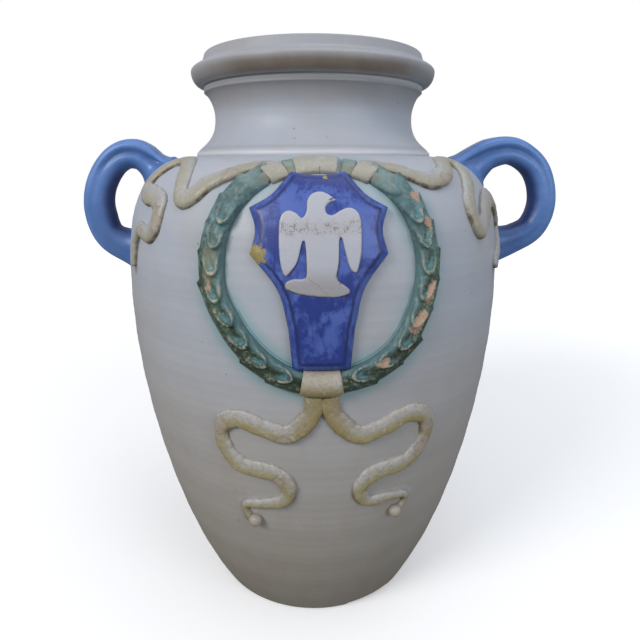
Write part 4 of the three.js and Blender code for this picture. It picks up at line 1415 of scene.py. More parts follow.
def handle_piece(side, sizes, wall):
    """One pulled handle: a strap with a flute down its middle, rounded towards the hole, which spreads
    where it joins the wall."""
    sign = -1 if side == "left" else 1
    top_radius, top_height, _, _ = wall.at(wall.length - sizes.handle_top_drop)
    foot_radius, foot_height, _, _ = wall.at(wall.length - sizes.handle_foot_drop)
    inset = sizes.wall / 2
    route = [(top_radius - 0.029, top_height - 0.001), (top_radius - inset, top_height - 0.001)]
    route += [(top_radius + out * MM, top_height + up * MM) for out, up in HANDLE_ROUTES[side]]
    route += [(foot_radius - inset, foot_height)]
    fine = spline(route, 40)
    travel = travelled(fine)
    share = np.linspace(0, 1, HANDLE_RINGS)
    line = np.stack([np.interp(share * travel[-1], travel, fine[:, i]) for i in (0, 1)], 1)
    tangent = unit(np.gradient(line, axis=0))
    outward = np.stack([-tangent[:, 1], tangent[:, 0]], 1)
    inside_shares, insides = np.array(HANDLE_INSIDES[side], float).T
    outside_shares, outsides = np.array(HANDLE_OUTSIDES[side], float).T
    out_share = np.clip((line[:, 0] - top_radius) / (line[:, 0].max() - top_radius), 0, 1)
    angles = np.radians(np.arange(HANDLE_POINTS) * 360 / HANDLE_POINTS)
    rings, values = [], {"flute": [], "inner": [], "edge": []}
    for centre, out_axis, s, reach_out in zip(line, outward, share, out_share):
        flare = 1 + 0.1 * abs(2 * s - 1) ** 4
        cosine, sine = np.cos(angles), np.sin(angles)
        across = np.where(cosine > 0, np.abs(cosine) ** 0.7, -np.abs(cosine))
        deep = np.sign(sine) * np.abs(sine) ** np.where(cosine > 0, 0.62, 0.9)
        face = np.abs(deep) > 0.3
        groove = np.exp(-(((across - 0.08) / 0.27) ** 2)) * face * (0.2 + 0.8 * smooth(0.5, 0.34, s))
        roll = np.exp(-(((across + 0.4) / 0.26) ** 2)) * face
        extra = np.interp(s, inside_shares, insides) * MM
        half = sizes.handle_thickness / 2 * flare
        tip = math.sqrt(max(1 - max(1 - s / 0.07, 0) ** 2, 0.09))
        outer_half = half * np.interp(s, outside_shares, outsides)
        reach = np.where(across > 0, across * outer_half * (0.6 + 0.4 * tip), across * (half + extra))
        depth = deep * (sizes.handle_depth / 2 * flare) * tip
        depth = depth - np.sign(deep) * (sizes.flute_depth * groove - 0.0006 * roll)
        x = centre[0] + out_axis[0] * reach
        z = centre[1] + out_axis[1] * reach
        from_axis = np.sqrt(np.maximum(x * x + depth * depth, 1e-9))
        wall_reach = from_axis - np.interp(z, wall.heights, wall.radii)
        near = np.exp(-np.maximum(wall_reach, 0) / (9.0 * MM))
        inner_side = np.clip(-across, 0, 1) * (s < 0.5)
        web = 9.0 * inner_side**2 * MM * smooth(14 * MM, 7 * MM, wall_reach) * (side == "right")
        skirt = (4.0 + 15.0 * inner_side**2) * MM * near * smooth(0, 0.1, s) + web
        x = x + out_axis[0] * cosine * skirt
        z = z + out_axis[1] * cosine * skirt
        depth = depth + sine * tip * (skirt + 0.004 * near * smooth(0.3, 0.1, s))
        rings.append(np.stack([sign * x, depth, z], 1))
        lower_limb = 0.55 * smooth(0.5, 0.75, s) * smooth(0.75, 0.3, across)
        values["flute"].append(np.maximum(groove, lower_limb) * (1 - 0.4 * near))
        # Painted shade towards the hole, strongest on the limb that stands furthest out.
        limb = 0.3 + 0.7 * smooth(0.45, 0.85, reach_out)
        values["inner"].append(smooth(-0.42, -0.9, across) * limb)
        values["edge"].append(smooth(0.9, 0.99, across))
    rings = np.array(rings)
    if sign > 0:
        rings = rings[:, ::-1]
        values = {key: np.array(value)[:, ::-1] for key, value in values.items()}
    return swept(f"pulled_handle_{side}", rings, values)


class URN_OT_handles(bpy.types.Operator):
    """Pulls the two fluted loop handles"""

    bl_idname = "urn.handles"
    bl_label = "Handles"

    def execute(self, context):
        sizes, _, _, wall = settings()
        material = glaze_named("Handle glaze", handle_glaze)
        for side in ("left", "right"):
            piece = handle_piece(side, sizes, wall)
            face_out(piece)
            finished(piece, material, "blue_glaze", f"handle_{side}")
        return {"FINISHED"}


def face_out(thing):
    """Turns the faces of one closed mesh outwards, by its volume."""
    mesh = thing.data
    mesh.calc_loop_triangles()
    points = np.array([v.co for v in mesh.vertices])
    triangles = np.array([t.vertices for t in mesh.loop_triangles])
    a, b, c = (points[triangles[:, i]] for i in range(3))
    if np.einsum("ij,ij->i", a, np.cross(b, c)).sum() < 0:
        mesh.flip_normals()


# Wreath and bands


def leaf_mesh(name, length, width, thick, cupped):
    """One closed leaf, lying along +Y with its face at +Z. A cupped leaf is U-shaped, with raised rims
    round a hollow heart, and the other is a soft lobe."""
    runs, sides = 16, 14
    bed = 0.6 * thick if cupped else 1.9 * thick
    top, values = [], {"leaf_run": [], "leaf_side": [], "leaf_cup": []}
    for i in range(runs + 1):
        run = i / runs
        closing = max(run - 0.42, 0) / 0.58
        half = width / 2 * min(1.0, 0.72 + 0.8 * run) * max(1 - closing**2.3, 0.0) ** 0.58
        for j in range(sides + 1):
            side = -1 + 2 * j / sides
            rise = thick * float(0.05 + 0.95 * smooth(0.0, 0.9, run))
            crown = 0.8 * thick * (1 - side * side)
            if cupped:
                rim = max(math.exp(-(((abs(side) - 0.8) / 0.22) ** 2)), float(smooth(0.78, 0.92, run)))
                strength = min(1.0, 0.1 + 1.6 * max(run - 0.2, 0))
                crown = thick * strength * (0.66 * rim - 0.22 * (1 - rim))
            top.append((side * half, (run - 0.5) * length, rise + crown))
            values["leaf_run"].append(run)
            values["leaf_side"].append(max(abs(side), float(smooth(0.76, 0.94, run))))
            values["leaf_cup"].append(1.0 if cupped else 0.0)
    under = [(x * 0.94, y, -bed) for x, y, _ in top]
    count = len(top)
    faces = []
    row = sides + 1
    for i in range(runs):
        for j in range(sides):
            a, b = i * row + j, i * row + j + 1
            faces.append((a, b, b + row, a + row))
            faces.append((a + count, a + row + count, b + row + count, b + count))
    border = list(range(row)) + [i * row + sides for i in range(1, runs + 1)]
    border += [runs * row + j for j in range(sides - 1, -1, -1)] + [i * row for i in range(runs - 1, 0, -1)]
    for a, b in zip(border, border[1:] + border[:1]):
        faces.append((b, a, a + count, b + count))
    values = {key: value + value for key, value in values.items()}
    return mesh_object(name, top + under, faces, values)


def leaf_tree():
    """Geometry nodes that set a leaf at each station, on the wall and along the wreath."""
    tree = bpy.data.node_groups.new("Laurel leaves", "GeometryNodeTree")
    tree.is_modifier = True
    face = tree.interface
    face.new_socket("Geometry", in_out="OUTPUT", socket_type="NodeSocketGeometry")
    face.new_socket("Geometry", in_out="INPUT", socket_type="NodeSocketGeometry")
    for name in ("Core", "Middle Leaf", "Side Leaf"):
        face.new_socket(name, in_out="INPUT", socket_type="NodeSocketObject")
    face.new_socket("Glaze", in_out="INPUT", socket_type="NodeSocketMaterial")
    for name, value in (("Leaf Size", 1.0), ("Size Difference", 0.05), ("Turn Difference", 3.0)):
        socket = face.new_socket(name, in_out="INPUT", socket_type="NodeSocketFloat")
        socket.default_value = value
    face.new_socket("Seed", in_out="INPUT", socket_type="NodeSocketInt").default_value = 7
    start = Outputs(tree.nodes.new("NodeGroupInput").outputs)
    end = tree.nodes.new("NodeGroupOutput")
    named = {}
    for key in ("leaf_normal", "leaf_direction", "leaf_splay", "leaf_tilt", "leaf_middle"):
        kind = "FLOAT_VECTOR" if key in ("leaf_normal", "leaf_direction") else "FLOAT"
        reader = node(tree, "GeometryNodeInputNamedAttribute", {"Name": key}, data_type=kind)
        named[key] = reader.outputs["Attribute"]
    upright = node(
        tree, "FunctionNodeAlignRotationToVector", {"Vector": named["leaf_normal"]}, axis="Z"
    ).outputs["Rotation"]
    along = node(
        tree,
        "FunctionNodeAlignRotationToVector",
        {"Rotation": upright, "Vector": named["leaf_direction"]},
        axis="Y",
        pivot_axis="Z",
    ).outputs["Rotation"]
    low_turn = start["Turn Difference"] * -1.0
    jitter = node(
        tree,
        "FunctionNodeRandomValue",
        {"Min": low_turn, "Max": start["Turn Difference"], "Seed": start["Seed"]},
        data_type="FLOAT",
    )
    splay = (named["leaf_splay"] + jitter.outputs.enabled()).math("RADIANS")
    tilt = named["leaf_tilt"].math("RADIANS")
    roll = node(tree, "ShaderNodeCombineXYZ", {"Y": tilt, "Z": splay}).outputs["Vector"]
    local = node(tree, "FunctionNodeEulerToRotation", {"Euler": roll}).outputs["Rotation"]
    final = node(
        tree, "FunctionNodeRotateRotation", {"Rotation": along, "Rotate By": local}, rotation_space="LOCAL"
    ).outputs["Rotation"]
    low_size = start["Size Difference"] * -1.0 + 1.0
    high_size = start["Size Difference"] + 1.0
    next_seed = start["Seed"] + 1.0
    sizer = node(
        tree,
        "FunctionNodeRandomValue",
        {"Min": low_size, "Max": high_size, "Seed": next_seed},
        data_type="FLOAT",
    )
    scale = sizer.outputs.enabled() * start["Leaf Size"]
    is_middle = node(
        tree,
        "FunctionNodeCompare",
        {"A": named["leaf_middle"], "B": 0.5},
        data_type="FLOAT",
        operation="GREATER_THAN",
    ).outputs["Result"]
    is_side = node(tree, "FunctionNodeBooleanMath", {0: is_middle}, operation="NOT").outputs[0]
    join = node(tree, "GeometryNodeJoinGeometry")
    core = node(tree, "GeometryNodeObjectInfo", {"Object": start["Core"]}, transform_space="ORIGINAL")
    fill(join.inputs[0], core.outputs["Geometry"])
    for leaf, chosen in (("Middle Leaf", is_middle), ("Side Leaf", is_side)):
        shape = node(tree, "GeometryNodeObjectInfo", {"Object": start[leaf]}, transform_space="ORIGINAL")
        placed = node(
            tree,
            "GeometryNodeInstanceOnPoints",
            {
                "Points": start["Geometry"],
                "Selection": chosen,
                "Instance": shape.outputs["Geometry"],
                "Rotation": final,
                "Scale": scale,
            },
        )
        fill(join.inputs[0], placed.outputs["Instances"])
    real = node(tree, "GeometryNodeRealizeInstances", {"Geometry": join.outputs[0]})
    glazed = node(
        tree, "GeometryNodeSetMaterial", {"Geometry": real.outputs[0], "Material": start["Glaze"]}
    )
    fill(end.inputs[0], glazed.outputs[0])
    return tree


def ring_frames(wall, turns, radius):
    """Places, normals and directions round the wreath, for turns from its top."""

    def places(turn):
        return wall.ring(turn, radius + hand_laid(turn)[0])

    ahead = unit(wall.place(*places(turns + 0.05)) - wall.place(*places(turns - 0.05)))
    return wall.place(*places(turns)), wall.normal(*places(turns)), ahead


def domed(width, relief, steps):
    """A domed section from edge to edge, with its bed in the wall."""
    angles = np.radians(np.linspace(-82, 82, steps + 1))
    crown = np.stack([width / 2 * np.sin(angles), relief * np.cos(angles)], 1)
    return np.vstack([[(-width / 2, -BED)], crown, [(width / 2, -BED)]])


def ring_sweep(wall, radius, start, end, section_at, steps, skew=0.0):
    """Rings of a section swept round part of the wreath, and how far down the wreath each point looks.
    A skewed sweep turns by that many degrees more for each metre across."""
    rings, values = [], []
    for i, turn in enumerate(np.linspace(start, end, steps + 1)):
        shape = section_at(i / steps)
        centres, normals, directions = ring_frames(wall, turn + skew * shape[:, 0], radius)
        sides = unit(np.cross(directions, normals))
        rings.append(centres + sides * shape[:, :1] + normals * shape[:, 1:])
        down = sides[:, 2] * shape[:, 0]
        values.append(-down / max(np.abs(shape[:, 0]).max(), 1e-9))
    return rings, values


def laurel_values(points, wall, ornament):
    """Stored values by place: how far round from the top, how far across, and where glaze is lost."""
    azimuth = np.arctan2(points[:, 0], -points[:, 1])
    climb = np.interp(points[:, 2], wall.heights, wall.climbs)
    across = azimuth * wall.at(climb)[0]
    rise = climb - wall.wreath
    turn = np.degrees(np.arctan2(across, rise))
    stray, share = hand_laid(turn)
    radius = np.hypot(across, rise) - stray
    worn = np.zeros(len(points))
    for spot_across, spot_rise, long, wide, strength in LAUREL_CHIPS:
        spot = np.array([spot_across, spot_rise]) * MM
        along = unit(np.array([spot[1], -spot[0]]))
        offset = np.stack([across, rise], 1) - spot
        run = offset @ along
        side = offset @ np.array([-along[1], along[0]])
        reach = np.hypot(run / (long * MM), side / (wide * MM))
        worn = np.maximum(worn, np.clip(1.2 - 0.7 * reach, 0, 1) * strength)
    return {
        "ring_down": np.abs(turn) / 180,
        "ring_side": (radius - ornament.wreath_radius) / (ornament.wreath_width / 2 * share),
        "chip": worn,
    }


class URN_OT_wreath(bpy.types.Operator):
    """Lays the laurel leaves of the wreath, in lengths between its bands"""

    bl_idname = "urn.wreath"
    bl_label = "Laurel wreath"

    def execute(self, context):
        _, ornament, _, wall = settings()
        degrees = math.degrees(1 / ornament.wreath_radius)
        gap = 0.0003 * degrees
        top = ornament.top_band / 2 * degrees
        side_start = ornament.side_band_turn - ornament.side_band / 2 * degrees
        side_end = ornament.side_band_turn + ornament.side_band / 2 * degrees
        bottom = 180 - ornament.bottom_band / 2 * degrees
        material = glaze_named("Laurel glaze", leaf_glaze)
        tree = leaf_tree()
        pitch, width = ornament.leaf_pitch, ornament.wreath_width
        middle = leaf_mesh("middle_leaf", 1.35 * pitch, 0.62 * width, 0.0034, True)
        side = leaf_mesh("side_leaf", 1.5 * pitch, 0.46 * width, 0.003, False)
        runs = {
            "laurel_left": ("wreath_left", -side_end - gap, -bottom + gap),
            "laurel_right": ("wreath_right", side_end + gap, bottom - gap),
            "laurel_top_left": ("wreath_top_left", -top - gap, -side_start + gap),
            "laurel_top_right": ("wreath_top_right", top + gap, side_start - gap),
        }
        for name, (cad_node, start, end) in runs.items():
            piece = self.length_of_wreath(name, wall, ornament, start, end, tree, material, middle, side)
            finished(piece, material, "leaf_glaze", cad_node)
        for leaf in (middle, side):
            bpy.data.objects.remove(leaf)
        return {"FINISHED"}

    @staticmethod
    def length_of_wreath(name, wall, ornament, start, end, tree, material, middle, side):
        radius, width, relief = ornament.wreath_radius, ornament.wreath_width, ornament.wreath_relief
        travel = abs(math.radians(end - start)) * radius
        outer = 1 if end < start else -1

        def core_section(share):
            turn = start + (end - start) * share
            here = relief * 0.64 * float(relief_share(turn))
            return domed(width * float(hand_laid(turn)[1]), here, 14)

        rings, _ = ring_sweep(wall, radius, start, end, core_section, max(8, int(travel / 0.003)))
        core = swept(name + "_core", rings, {})
        face_out(core)
        count = max(1, round(travel / ornament.leaf_pitch))
        margin = 0.4 * ornament.leaf_pitch / travel
        stations = {key: [] for key in ("turn", "offset", "splay", "tilt", "middle", "lift")}
        for i in range(count + 1):
            for cup, offset, splay, tilt, shift, lift in LEAF_ROWS:
                share = (i + shift) / count
                turn = start + (end - start) * share
                if not margin <= share <= 1 - margin or (cup and abs(turn) < ornament.first_cup):
                    continue
                place = (turn, offset * width * outer, splay * outer, tilt * outer, cup)
                for key, value in zip(stations, (*place, lift * relief_share(turn))):
                    stations[key].append(float(value))
        turns = np.array(stations["turn"])
        if len(turns):
            centres, normals, directions = ring_frames(wall, turns, radius)
            directions = directions * (1 if end > start else -1)
            sides = unit(np.cross(directions, normals))
        else:
            centres = normals = directions = sides = np.zeros((0, 3))
        offsets, lifts = np.array(stations["offset"])[:, None], np.array(stations["lift"])[:, None]
        wreath = mesh_object(
            name,
            centres + sides * offsets + normals * lifts,
            [],
            {
                "leaf_normal": normals,
                "leaf_direction": directions,
                "leaf_splay": stations["splay"],
                "leaf_tilt": stations["tilt"],
                "leaf_middle": stations["middle"],
            },
        )
        modifier = wreath.modifiers.new("Leaves", "NODES")
        modifier.node_group = tree
        sockets = {s.name: s.identifier for s in tree.interface.items_tree if s.in_out == "INPUT"}
        chosen = {
            "Core": core, "Middle Leaf": middle, "Side Leaf": side, "Glaze": material, "Seed": ornament.seed
        }
        for key, value in chosen.items():
            modifier[sockets[key]] = value
        made_plain(wreath)
        bpy.data.objects.remove(core)
        fused(wreath, MELT_VOXEL, MELT_ROUNDS)
        points = np.array([v.co for v in wreath.data.vertices])
        for key, values in laurel_values(points, wall, ornament).items():
            keep_values(wreath.data, key, values)
        return wreath


class URN_OT_bands(bpy.types.Operator):
    """Wraps the four bands round the wreath"""

    bl_idname = "urn.bands"
    bl_label = "Wreath bands"

    def execute(self, context):
        _, ornament, _, wall = settings()
        radius = ornament.wreath_radius
        degrees = math.degrees(1 / radius)
        side = ornament.side_band / 2 * degrees
        turn = ornament.side_band_turn
        top, bottom = ornament.top_band / 2 * degrees, ornament.bottom_band / 2 * degrees
        material = glaze_named("Ribbon glaze", straw_glaze)
        relief = ornament.wreath_relief + ornament.band_clearance
        places = {
            "wrap_top": ("band_top", -top - 2, top - 2, 0.1, 0.0, 0.3),
            "wrap_bottom": ("band_bottom", 180 - bottom, 180 + bottom, 0.4, 0.0, 1.0),
            "wrap_upper_left": ("band_upper_left", -turn - side, -turn + side, 0.35, 90.0, 0.5),
            "wrap_upper_right": ("band_upper_right", turn - side, turn + side, 0.35, -90.0, 0.5),
        }
        for name, (cad_node, start, end, ochre, skew, shaded) in places.items():

            def section_at(share):
                edge = min(share, 1 - share)
                ends = math.sqrt(max(1 - (1 - min(edge / 0.2, 1)) ** 2, 0.0))
                at = start + (end - start) * share
                width = ornament.wreath_width * float(hand_laid(at)[1]) + 2 * ornament.band_clearance
                here = relief * float(relief_share(at))
                return domed(width * (0.93 + 0.07 * ends), here * (0.78 + 0.22 * ends), 24)

            rings, down = ring_sweep(wall, radius, start, end, section_at, 44, skew)
            shape = np.shape(down)
            aside = np.abs(np.linspace(-1, 1, shape[1]))
            piece = swept(
                name,
                rings,
                {
                    "lower_side": shaded * np.array(down) - 0.2,
                    "edge_share": np.tile(aside, (shape[0], 1)),
                    "ochre": np.full(shape, ochre),
                    "chip": np.zeros(shape),
                },
            )
            face_out(piece)
            finished(piece, material, "straw_glaze", cad_node)
        return {"FINISHED"}


# Shield and eagle


def shield_outline():
    """The shield's whole outline, in metres across and of rise."""
    at = {key: np.array(value, float) for key, value in SHIELD_HALF.items()}

    def hollow(start, middle, end, steps):
        return list(
            spline([at[start], middle if isinstance(middle, np.ndarray) else at[middle], at[end]], steps)
        )

    over = np.array([at["top_horn"][0] / 2, at["top_dip"][1] + 1])
    half = hollow("top_dip", over, "top_horn", 8)
    half += hollow("top_horn", "upper_hollow", "upper_horn", 12)[1:]
    half += hollow("upper_horn", "side_hollow", "lower_horn", 12)[1:]
    half += hollow("lower_horn", "lower_hollow", "waist", 16)[1:]
    waist, foot = at["waist"], at["foot"]
    half += [waist + (foot - waist) * t for t in np.linspace(0, 1, 14)[1:]]
    half += [np.array([foot[0] * t, foot[1]]) for t in np.linspace(1, 0, 12)[1:]]
    left = [np.array([-x, y]) for x, y in reversed(half[1:-1])]
    outline = np.array(half + left) * MM
    outline[:, 0] -= 2.0 * MM * smooth(-50 * MM, 20 * MM, outline[:, 1])
    gaps = np.linalg.norm(outline - np.roll(outline, 1, 0), axis=1)
    return outline[gaps > 1e-6]


class URN_OT_shield(bpy.types.Operator):
    """Cuts the horned shield with its sloping border"""

    bl_idname = "urn.shield"
    bl_label = "Shield"

    def execute(self, context):
        _, ornament, _, wall = settings()
        relief, bevel = ornament.shield_relief, ornament.shield_bevel

        def face(gap):
            slope = np.clip(gap / bevel, 0, 1)
            rounded = 0.5 * relief + 0.5 * relief * slope
            soft = 0.0012 * np.exp(-gap / 0.0009)
            groove = 0.0008 * np.exp(-(((gap - bevel) / 0.0012) ** 2))
            return rounded - soft - groove

        def values(points):
            worn = np.zeros(len(points))
            for across, rise, tall, depth, size, most in SHIELD_CHIPS:
                away = np.hypot(points[:, 0] - across * MM, (points[:, 1] - rise * MM) * tall)
                worn = np.maximum(worn, np.clip(depth - away / (size * MM), 0, most))
            return {"chip": worn}

        piece = cut_plate("horned_shield", shield_outline(), SHIELD_SPACING, face, 0.004, wall, values)
        face_out(piece)
        finished(piece, glaze_named("Shield glaze", shield_glaze), "cobalt_glaze", "shield")
        return {"FINISHED"}


class URN_OT_eagle(bpy.types.Operator):
    """Lays the thin eagle on the shield"""

    bl_idname = "urn.eagle"
    bl_label = "Eagle"

    def execute(self, context):
        _, ornament, _, wall = settings()
        outline = spline(EAGLE_OUTLINE, 5, closed=True) * MM
        lift = ornament.shield_relief

        def face(gap):
            soft = np.sqrt(np.clip(1 - (1 - np.clip(gap / 0.0016, 0, 1)) ** 2, 0, 1))
            return lift - 0.0004 + (ornament.eagle_relief + 0.0004) * soft

        lines = [spline(line, 6) * MM for line in EAGLE_LINES]
        crack = spline(EAGLE_CRACK, 4) * MM

        def values(points):
            gap = np.min([outline_gap(points, line, closed=False) for line in lines], axis=0)
            waves = 0.0016 * np.sin(points[:, 0] * 260)
            breast = np.exp(-(((points[:, 1] - 0.0375 - waves) / 0.0052) ** 2)) * (points[:, 0] > -0.039)
            return {
                "line_gap": gap,
                "crack_gap": outline_gap(points, crack, closed=False),
                "breast": breast,
                "low": smooth(0.01, -0.025, points[:, 1]),
            }

        piece = cut_plate("displayed_eagle", outline, EAGLE_SPACING, face, -(lift - 0.0025), wall, values)
        face_out(piece)
        finished(piece, glaze_named("Eagle glaze", eagle_glaze), "white_glaze", "eagle")
        return {"FINISHED"}


# Ribbons


def ribbon_piece(kind, side, wall, ornament):
    """One ribbon laid along its route, with a crest between a broad upper face and a steep lower one."""
    plan = RIBBONS[kind]
    widths, chips, ochre = plan["widths"], plan["chips"][side], plan["ochre"]
    fine = spline([(a, wall.wreath + r * MM) for a, r in plan["routes"][side]], 40)
    centre = wall.place(fine[:, 0], fine[:, 1])
    travel = travelled(centre)
    steps = int(travel[-1] / RIBBON_STEP)
    even = np.linspace(0, travel[-1], steps + 1)
    azimuth = np.interp(even, travel, fine[:, 0])
    climb = np.interp(even, travel, fine[:, 1])
    centres, normals = wall.place(azimuth, climb), wall.normal(azimuth, climb)
    direction = unit(np.gradient(centres, axis=0))
    sides = unit(np.cross(direction, normals))
    turning = np.gradient(direction, even, axis=0)
    curl = np.einsum("ij,ij->i", turning, sides)
    curl = np.convolve(np.pad(curl, 2, "edge"), np.ones(5) / 5, "valid")
    width_shares, width_values = np.array(widths, float).T
    slots = np.sin(np.radians(np.linspace(-90, 90, 23)))
    rings = []
    values = {key: [] for key in ("lower_side", "edge_share", "ochre", "chip")}
    for i in range(len(centres)):
        share = even[i] / travel[-1]
        end = min(even[i], travel[-1] - even[i])
        half = ornament.ribbon_width / 2 * np.interp(share, width_shares, width_values)
        half = half * (0.8 + 0.2 * smooth(0, 0.004, end))
        relief = ornament.ribbon_relief * (0.72 + 0.28 * half / (ornament.ribbon_width / 2))
        lean = -float(np.clip(sides[i][2] * 1.25, -1, 1))
        half_plus, half_minus = half * (1.06 + 0.3 * max(-lean, 0)), half * (1.06 + 0.3 * max(lean, 0))
        room_plus = min(half_plus, 0.82 / max(curl[i], 1e-6)) if curl[i] > 0 else half_plus
        room_minus = min(half_minus, 0.82 / max(-curl[i], 1e-6)) if curl[i] < 0 else half_minus
        crest = 0.4 * lean
        uneven = 1 + 0.04 * math.sin(even[i] * 190) + 0.03 * math.sin(even[i] * 433 + 1)
        shape = []
        for t in slots:
            room = room_plus if t > 0 else room_minus
            edge = math.sqrt(max(1 - abs(t) ** 7, 0.0))
            reach = 1 - crest if t > crest else 1 + crest
            tent = 1 - ((t - crest) / reach) ** 2
            lift = relief * (0.1 + edge * (0.42 + 0.46 * tent)) * uneven
            shape.append((t * room * uneven, lift))
        shape = [(shape[0][0], -BED)] + shape + [(shape[-1][0], -BED)]
        rings.append([centres[i] + sides[i] * a + normals[i] * b for a, b in shape])
        across = np.concatenate([[-1], slots, [1]])
        values["lower_side"].append(across * lean)
        values["edge_share"].append(np.abs(across))
        stain = ochre[1] + (ochre[0] - ochre[1]) * (1 - smooth(0.02, 0.07, even[i]))
        values["ochre"].append(0 * across + stain)
        worn = max([0.0] + [1.25 - 0.75 * abs(share - at) / size for at, size, _ in chips])
        aim = max([(1.25 - abs(share - at) / size, lower) for at, size, lower in chips] + [(-9, 0)])[1]
        values["chip"].append(
            worn * np.clip(1.1 - 0.75 * np.abs(across * (1 if lean >= 0 else -1) - aim), 0, 1)
        )
    piece = swept(f"{kind}_{side}", rings, values)
    face_out(piece)
    return piece


class URN_OT_shoulder_ribbons(bpy.types.Operator):
    """Lays the two ribbons that flutter from the wreath over the shoulder to the handles"""

    bl_idname = "urn.shoulder_ribbons"
    bl_label = "Shoulder ribbons"

    def execute(self, context):
        _, ornament, _, wall = settings()
        material = glaze_named("Ribbon glaze", straw_glaze)
        for side in ("left", "right"):
            piece = ribbon_piece("flutter", side, wall, ornament)
            nodes = [f"ribbon_{part}_{side}" for part in ("upper", "side", "tail")]
            finished(piece, material, "straw_glaze", *nodes)
        return {"FINISHED"}


class URN_OT_trailing_ribbons(bpy.types.Operator):
    """Lays the two ribbons that trail down the front, with the balls on their ends"""

    bl_idname = "urn.trailing_ribbons"
    bl_label = "Trailing ribbons"

    def execute(self, context):
        _, ornament, _, wall = settings()
        material = glaze_named("Ribbon glaze", straw_glaze)
        for side in ("left", "right"):
            piece = ribbon_piece("trailing", side, wall, ornament)
            finished(piece, material, "straw_glaze", f"ribbon_lower_{side}")
            knob = self.knob(side, wall, ornament)
            finished(knob, material, "straw_glaze", f"ribbon_ball_{side}")
        return {"FINISHED"}

    @staticmethod
    def knob(side, wall, ornament):
        """A slightly flattened, uneven ball on a ribbon's end."""
        azimuth, rise = BALLS[side]
        radius = ornament.ball_radius * 0.96
        climb = wall.wreath + rise * MM
        centre = wall.place(azimuth, climb, radius * 0.3)
        normal = wall.normal(azimuth, climb)
        rows, segments = 14, 24
        points, faces = [], []
        for i in range(1, rows):
            tilt = math.pi * i / rows
            for j in range(segments):
                turn = 2 * math.pi * j / segments
                uneven = 1 - 0.05 * (1 + math.sin(3 * turn + 2 * tilt)) / 2
                points.append(
                    (
                        radius * uneven * math.sin(tilt) * math.cos(turn),
                        radius * uneven * math.sin(tilt) * math.sin(turn),
                        radius * BALL_HEIGHT * math.cos(tilt),
                    )
                )
        points += [(0, 0, radius * BALL_HEIGHT), (0, 0, -radius * BALL_HEIGHT)]
        for i in range(rows - 2):
            for j in range(segments):
                k = (j + 1) % segments
                faces.append(
                    (i * segments + j, (i + 1) * segments + j, (i + 1) * segments + k, i * segments + k)
                )
        last = (rows - 2) * segments
        for j in range(segments):
            k = (j + 1) % segments
            faces.append((len(points) - 2, j, k))
            faces.append((len(points) - 1, last + k, last + j))
        turn_to = Vector(normal).to_track_quat("Z", "Y").to_matrix()
        placed = np.array([Vector(centre) + turn_to @ Vector(p) for p in points])
        down = (centre[2] - placed[:, 2]) / radius
        # The ball's underside takes the brown line and painted shadow of the ribbons' lower edges.
        values = {
            "lower_side": down * 0.4 - 0.2,
            "edge_share": 0.9 * smooth(0.5, 1.0, down),
            "ochre": 0 * down,
            "chip": 0 * down + 1.2,
        }
        piece = mesh_object(f"ribbon_knob_{side}", placed, faces, values)
        face_out(piece)
        return piece


# Stage


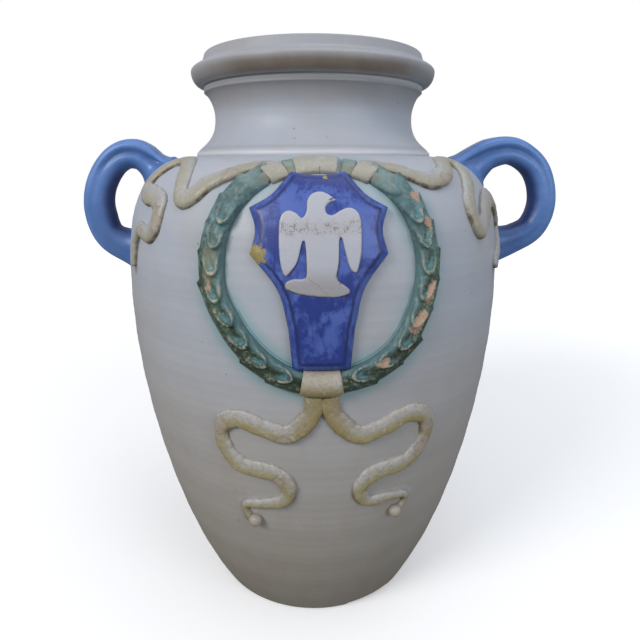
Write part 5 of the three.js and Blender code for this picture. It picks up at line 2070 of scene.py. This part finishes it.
class URN_OT_stage(bpy.types.Operator):
    """Sets the floor, the studio light and the camera"""

    bl_idname = "urn.stage"
    bl_label = "Stage"

    def execute(self, context):
        scene = context.scene
        bpy.ops.mesh.primitive_plane_add(size=14, location=(0, 0, 0))
        floor = context.object
        floor.name = "floor"
        floor.data.materials.append(self.pale_floor())
        for name, place, size, power, colour in LIGHTS:
            data = bpy.data.lights.new(name, "AREA")
            data.shape = "DISK"
            data.size = size
            data.energy = power
            data.color = colour
            lamp = bpy.data.objects.new(name, data)
            lamp.location = place
            aim = Vector(LIT_PLACE) - Vector(place)
            lamp.rotation_euler = aim.to_track_quat("-Z", "Y").to_euler()
            scene.collection.objects.link(lamp)
        self.pale_sky(scene)
        camera_data = bpy.data.cameras.new("camera")
        camera_data.sensor_width = 36
        camera_data.lens = CAMERA_LENS
        camera_data.clip_start = 0.05
        camera = bpy.data.objects.new("camera", camera_data)
        camera.location = CAMERA_PLACE
        camera.rotation_euler = Euler([math.radians(turn) for turn in CAMERA_TURN])
        scene.collection.objects.link(camera)
        scene.camera = camera
        scene.view_settings.view_transform = "Standard"
        return {"FINISHED"}

    @staticmethod
    def pale_floor():
        """A pale floor that throws only a little light back up, as ground outdoors does."""
        paint = bpy.data.materials.new("Pale floor")
        paint.use_nodes = True
        tree = paint.node_tree
        shader = tree.nodes["Principled BSDF"]
        shader.inputs["Roughness"].default_value = 0.9
        shader.inputs["Specular IOR Level"].default_value = 0.1
        seen = node(tree, "ShaderNodeLightPath").outputs["Is Camera Ray"]
        fill(shader.inputs["Base Color"], mixed(tree, seen, (0.24, 0.24, 0.22), (0.8, 0.8, 0.8)))
        place = node(tree, "ShaderNodeTexCoord").outputs["Object"]
        reach = node(tree, "ShaderNodeVectorMath", {0: place}, operation="LENGTH").outputs["Value"]
        glow = seen * reach.ramp(0.2, 3.0, 0.3, 0.75)
        shader.inputs["Emission Color"].default_value = (1.0, 1.0, 1.0, 1.0)
        fill(shader.inputs["Emission Strength"], glow)
        return paint

    @staticmethod
    def pale_sky(scene):
        """A plain white backdrop and a softer bluish light from all round."""
        world = scene.world or bpy.data.worlds.new("Studio")
        scene.world = world
        world.use_nodes = True
        tree = world.node_tree
        sky = tree.nodes["Background"]
        seen = node(tree, "ShaderNodeLightPath").outputs["Is Camera Ray"]
        fill(sky.inputs["Color"], mixed(tree, seen, (0.9, 0.95, 1.06), (1.0, 1.0, 1.0)))
        fill(sky.inputs["Strength"], seen.ramp(0.0, 1.0, 0.42, 1.0))


OPERATORS = (
    URN_OT_thrown_body,
    URN_OT_neck_and_rim,
    URN_OT_handles,
    URN_OT_wreath,
    URN_OT_bands,
    URN_OT_shield,
    URN_OT_eagle,
    URN_OT_shoulder_ribbons,
    URN_OT_trailing_ribbons,
    URN_OT_stage,
)


class URN_PT_panel(bpy.types.Panel):
    """Lists the urn's pieces, sizes and glazes"""

    bl_idname = "URN_PT_panel"
    bl_label = "Laurel urn"
    bl_space_type = "VIEW_3D"
    bl_region_type = "UI"
    bl_category = "Urn"

    def draw(self, context):
        layout = self.layout
        for operator in OPERATORS:
            layout.operator(operator.bl_idname)
        for group in (context.scene.urn_sizes, context.scene.urn_ornament, context.scene.urn_glazes):
            box = layout.box()
            for key in group.__annotations__:
                box.prop(group, key)


CLASSES = (UrnSizes, OrnamentSizes, UrnGlazes, *OPERATORS, URN_PT_panel)


def register():
    for cls in CLASSES:
        bpy.utils.register_class(cls)
    bpy.types.Scene.urn_sizes = bpy.props.PointerProperty(type=UrnSizes)
    bpy.types.Scene.urn_ornament = bpy.props.PointerProperty(type=OrnamentSizes)
    bpy.types.Scene.urn_glazes = bpy.props.PointerProperty(type=UrnGlazes)


def unregister():
    del bpy.types.Scene.urn_glazes
    del bpy.types.Scene.urn_ornament
    del bpy.types.Scene.urn_sizes
    for cls in reversed(CLASSES):
        bpy.utils.unregister_class(cls)


def main():
    register()
    bpy.ops.urn.thrown_body()
    bpy.ops.urn.neck_and_rim()
    bpy.ops.urn.handles()
    bpy.ops.urn.wreath()
    bpy.ops.urn.bands()
    bpy.ops.urn.shield()
    bpy.ops.urn.eagle()
    bpy.ops.urn.shoulder_ribbons()
    bpy.ops.urn.trailing_ribbons()
    bpy.ops.urn.stage()


if __name__ == "__main__":
    main()
